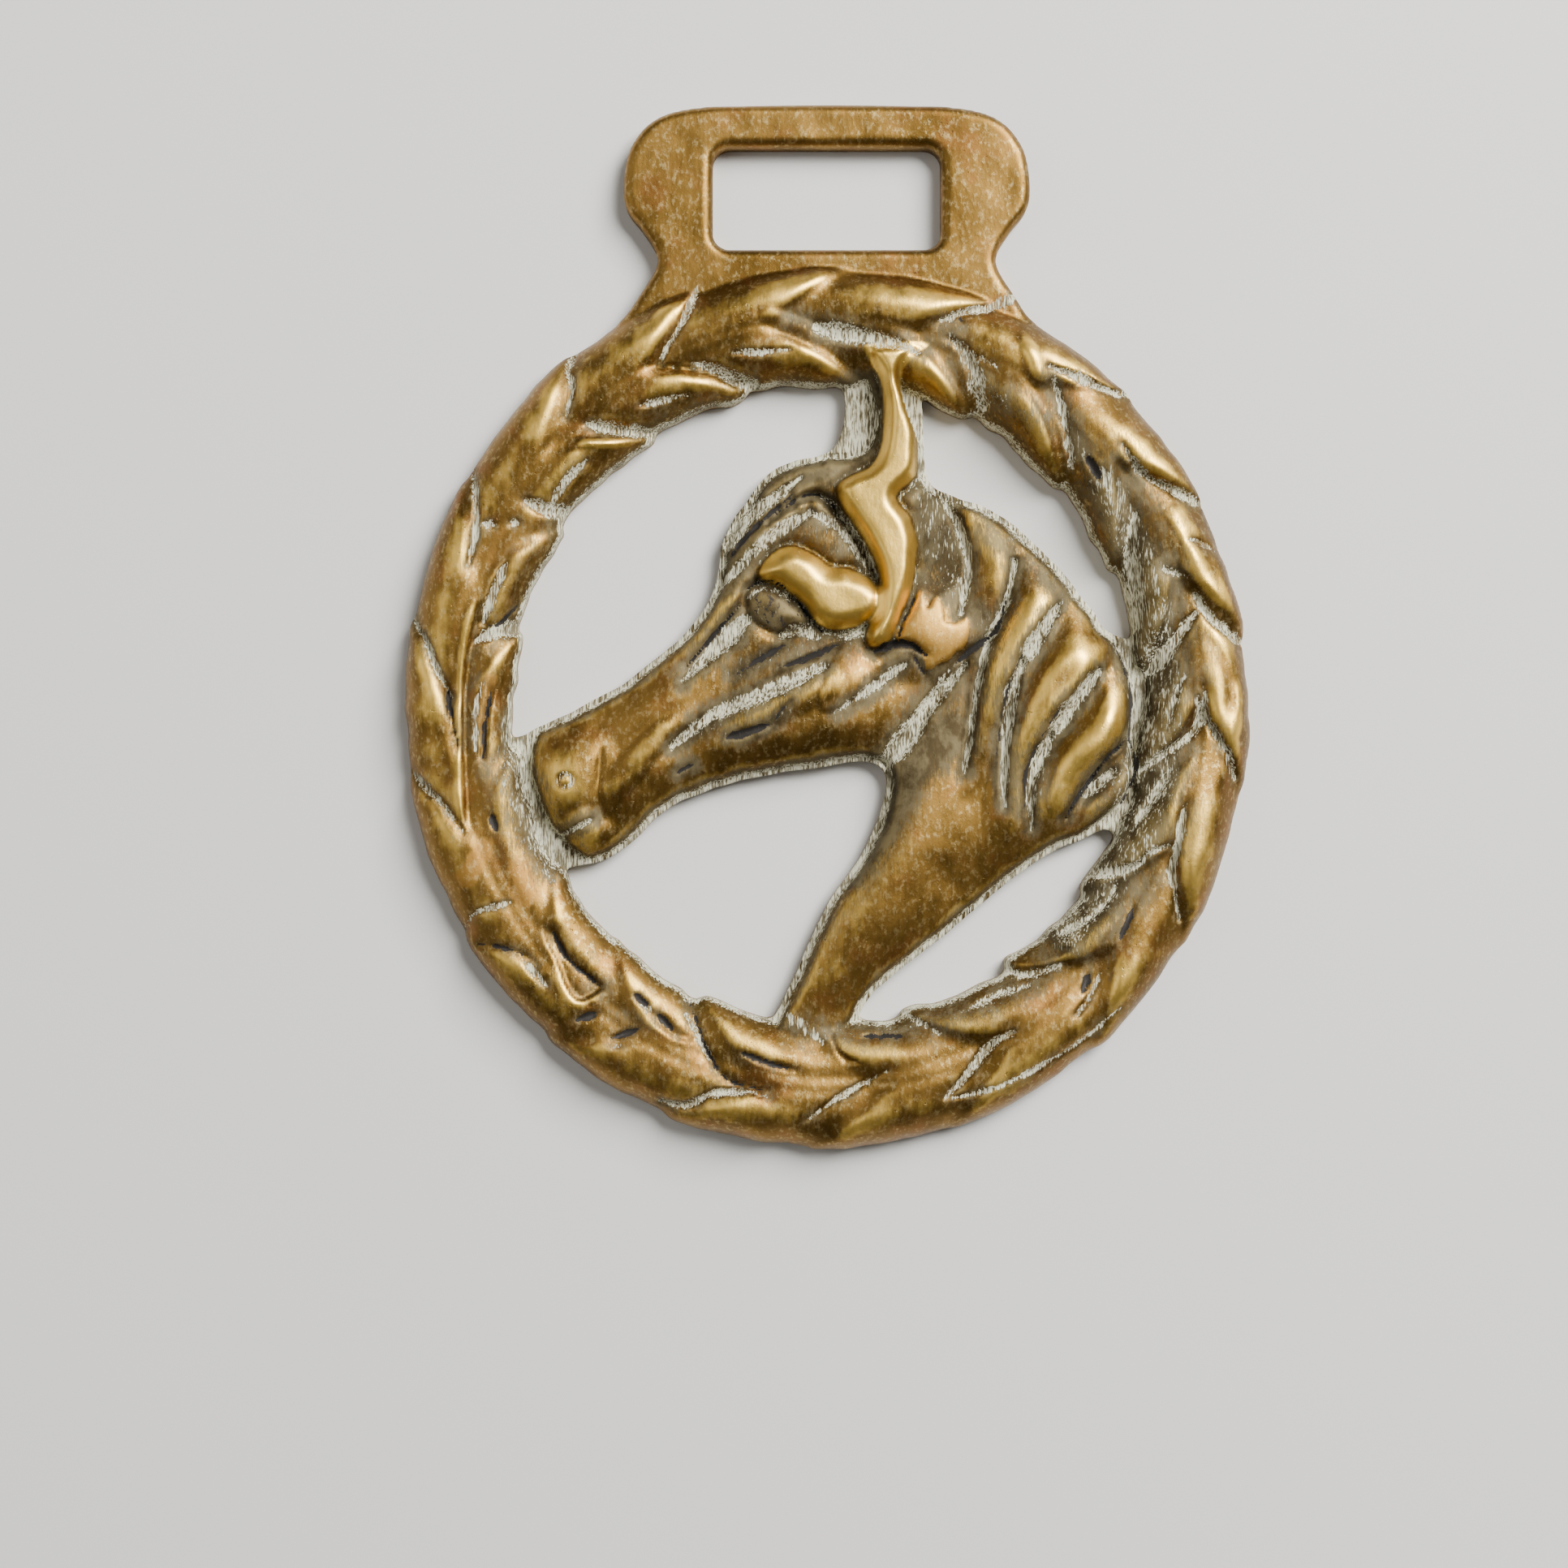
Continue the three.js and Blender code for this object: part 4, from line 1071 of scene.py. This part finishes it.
# %% Shine and fine relief
BUMP_DEPTH = 0.09
metallic = (1-crust)*(1-black*0.3)*(1-grime*0.15)
roughness = 0.43-bright*0.04+shade*0.2+grime*0.25+worn*0.12
roughness = roughness+(blotch-0.5)*0.2+(brush-0.5)*0.15+crust*0.35+black*0.1
relief = speck*0.65+brush*0.2+crust*(0.4+hair*0.6)-black*0.3-pits*0.4
bump = metal.node("ShaderNodeBump", {}, {"Strength": 0.45, "Distance": BUMP_DEPTH*MM, "Height": relief})
shader = metal.node("ShaderNodeBsdfPrincipled", {},
                    {"Base Color": colour, "Metallic": metallic, "Roughness": roughness, "Normal": bump})
metal.node("ShaderNodeOutputMaterial", {}, {"Surface": shader})
brass.data.materials.append(metal.material)
print("nodes in all:", len(metal.tree.nodes))

# %% [markdown]
# ## Floor, light and camera
# A pale paper floor, one large soft window light from the upper right and a weak one from the
# left. The camera looks straight down, as one looks at a brass lying on a table.

# %% Floor
HALF_FLOOR = 2.0
PAPER = rgb(214, 212, 207)
floor_mesh = bmesh.new()
bmesh.ops.create_grid(floor_mesh, x_segments=1, y_segments=1, size=HALF_FLOOR)
sheet = bpy.data.meshes.new("floor")
floor_mesh.to_mesh(sheet)
floor_mesh.free()
floor = bpy.data.objects.new("floor", sheet)
bpy.context.collection.objects.link(floor)
paper = Finish("pale_floor")
matt = paper.node("ShaderNodeBsdfPrincipled", {}, {"Base Color": PAPER, "Roughness": 0.9})
paper.node("ShaderNodeOutputMaterial", {}, {"Surface": matt})
floor.data.materials.append(paper.material)
print("floor is", 2*HALF_FLOOR, "m square")


# %% Lights
def soft_light(name, place, size, power):
    """A soft box at a place in metres, turned to face the brass. Its power is in watts."""
    lamp = bpy.data.lights.new(name, "AREA")
    lamp.shape = "RECTANGLE"
    lamp.size, lamp.size_y = size
    lamp.energy = power
    holder = bpy.data.objects.new(name, lamp)
    holder.location = place
    holder.rotation_euler = (-Vector(place)).to_track_quat("-Z", "Y").to_euler()
    bpy.context.collection.objects.link(holder)


soft_light("window", (0.42, 0.38, 0.55), (0.38, 0.50), 18.0)
soft_light("fill", (-0.6, 0.1, 0.5), (0.6, 0.8), 2.0)
ROOM_GREY = rgb(160, 158, 154)
ROOM_LIGHT = 0.43
room = bpy.data.worlds.new("room")
room.use_nodes = True
room.node_tree.nodes["Background"].inputs["Color"].default_value = ROOM_GREY
room.node_tree.nodes["Background"].inputs["Strength"].default_value = ROOM_LIGHT
bpy.context.scene.world = room
print("lights:", ", ".join(lamp.name for lamp in bpy.data.lights))

# %% Camera
VIEW_WIDTH = 147.9
CAMERA_HEIGHT = 280.0
LOOK_AT = (-4.0, -6.2)
camera = bpy.data.objects.new("camera", bpy.data.cameras.new("camera"))
camera.data.angle = 2*atan(VIEW_WIDTH/2/CAMERA_HEIGHT)
camera.location = (LOOK_AT[0]*MM, LOOK_AT[1]*MM, CAMERA_HEIGHT*MM)
camera.data.clip_start = 0.01
bpy.context.collection.objects.link(camera)
bpy.context.scene.camera = camera
print("camera sees", VIEW_WIDTH, "mm across at the floor")
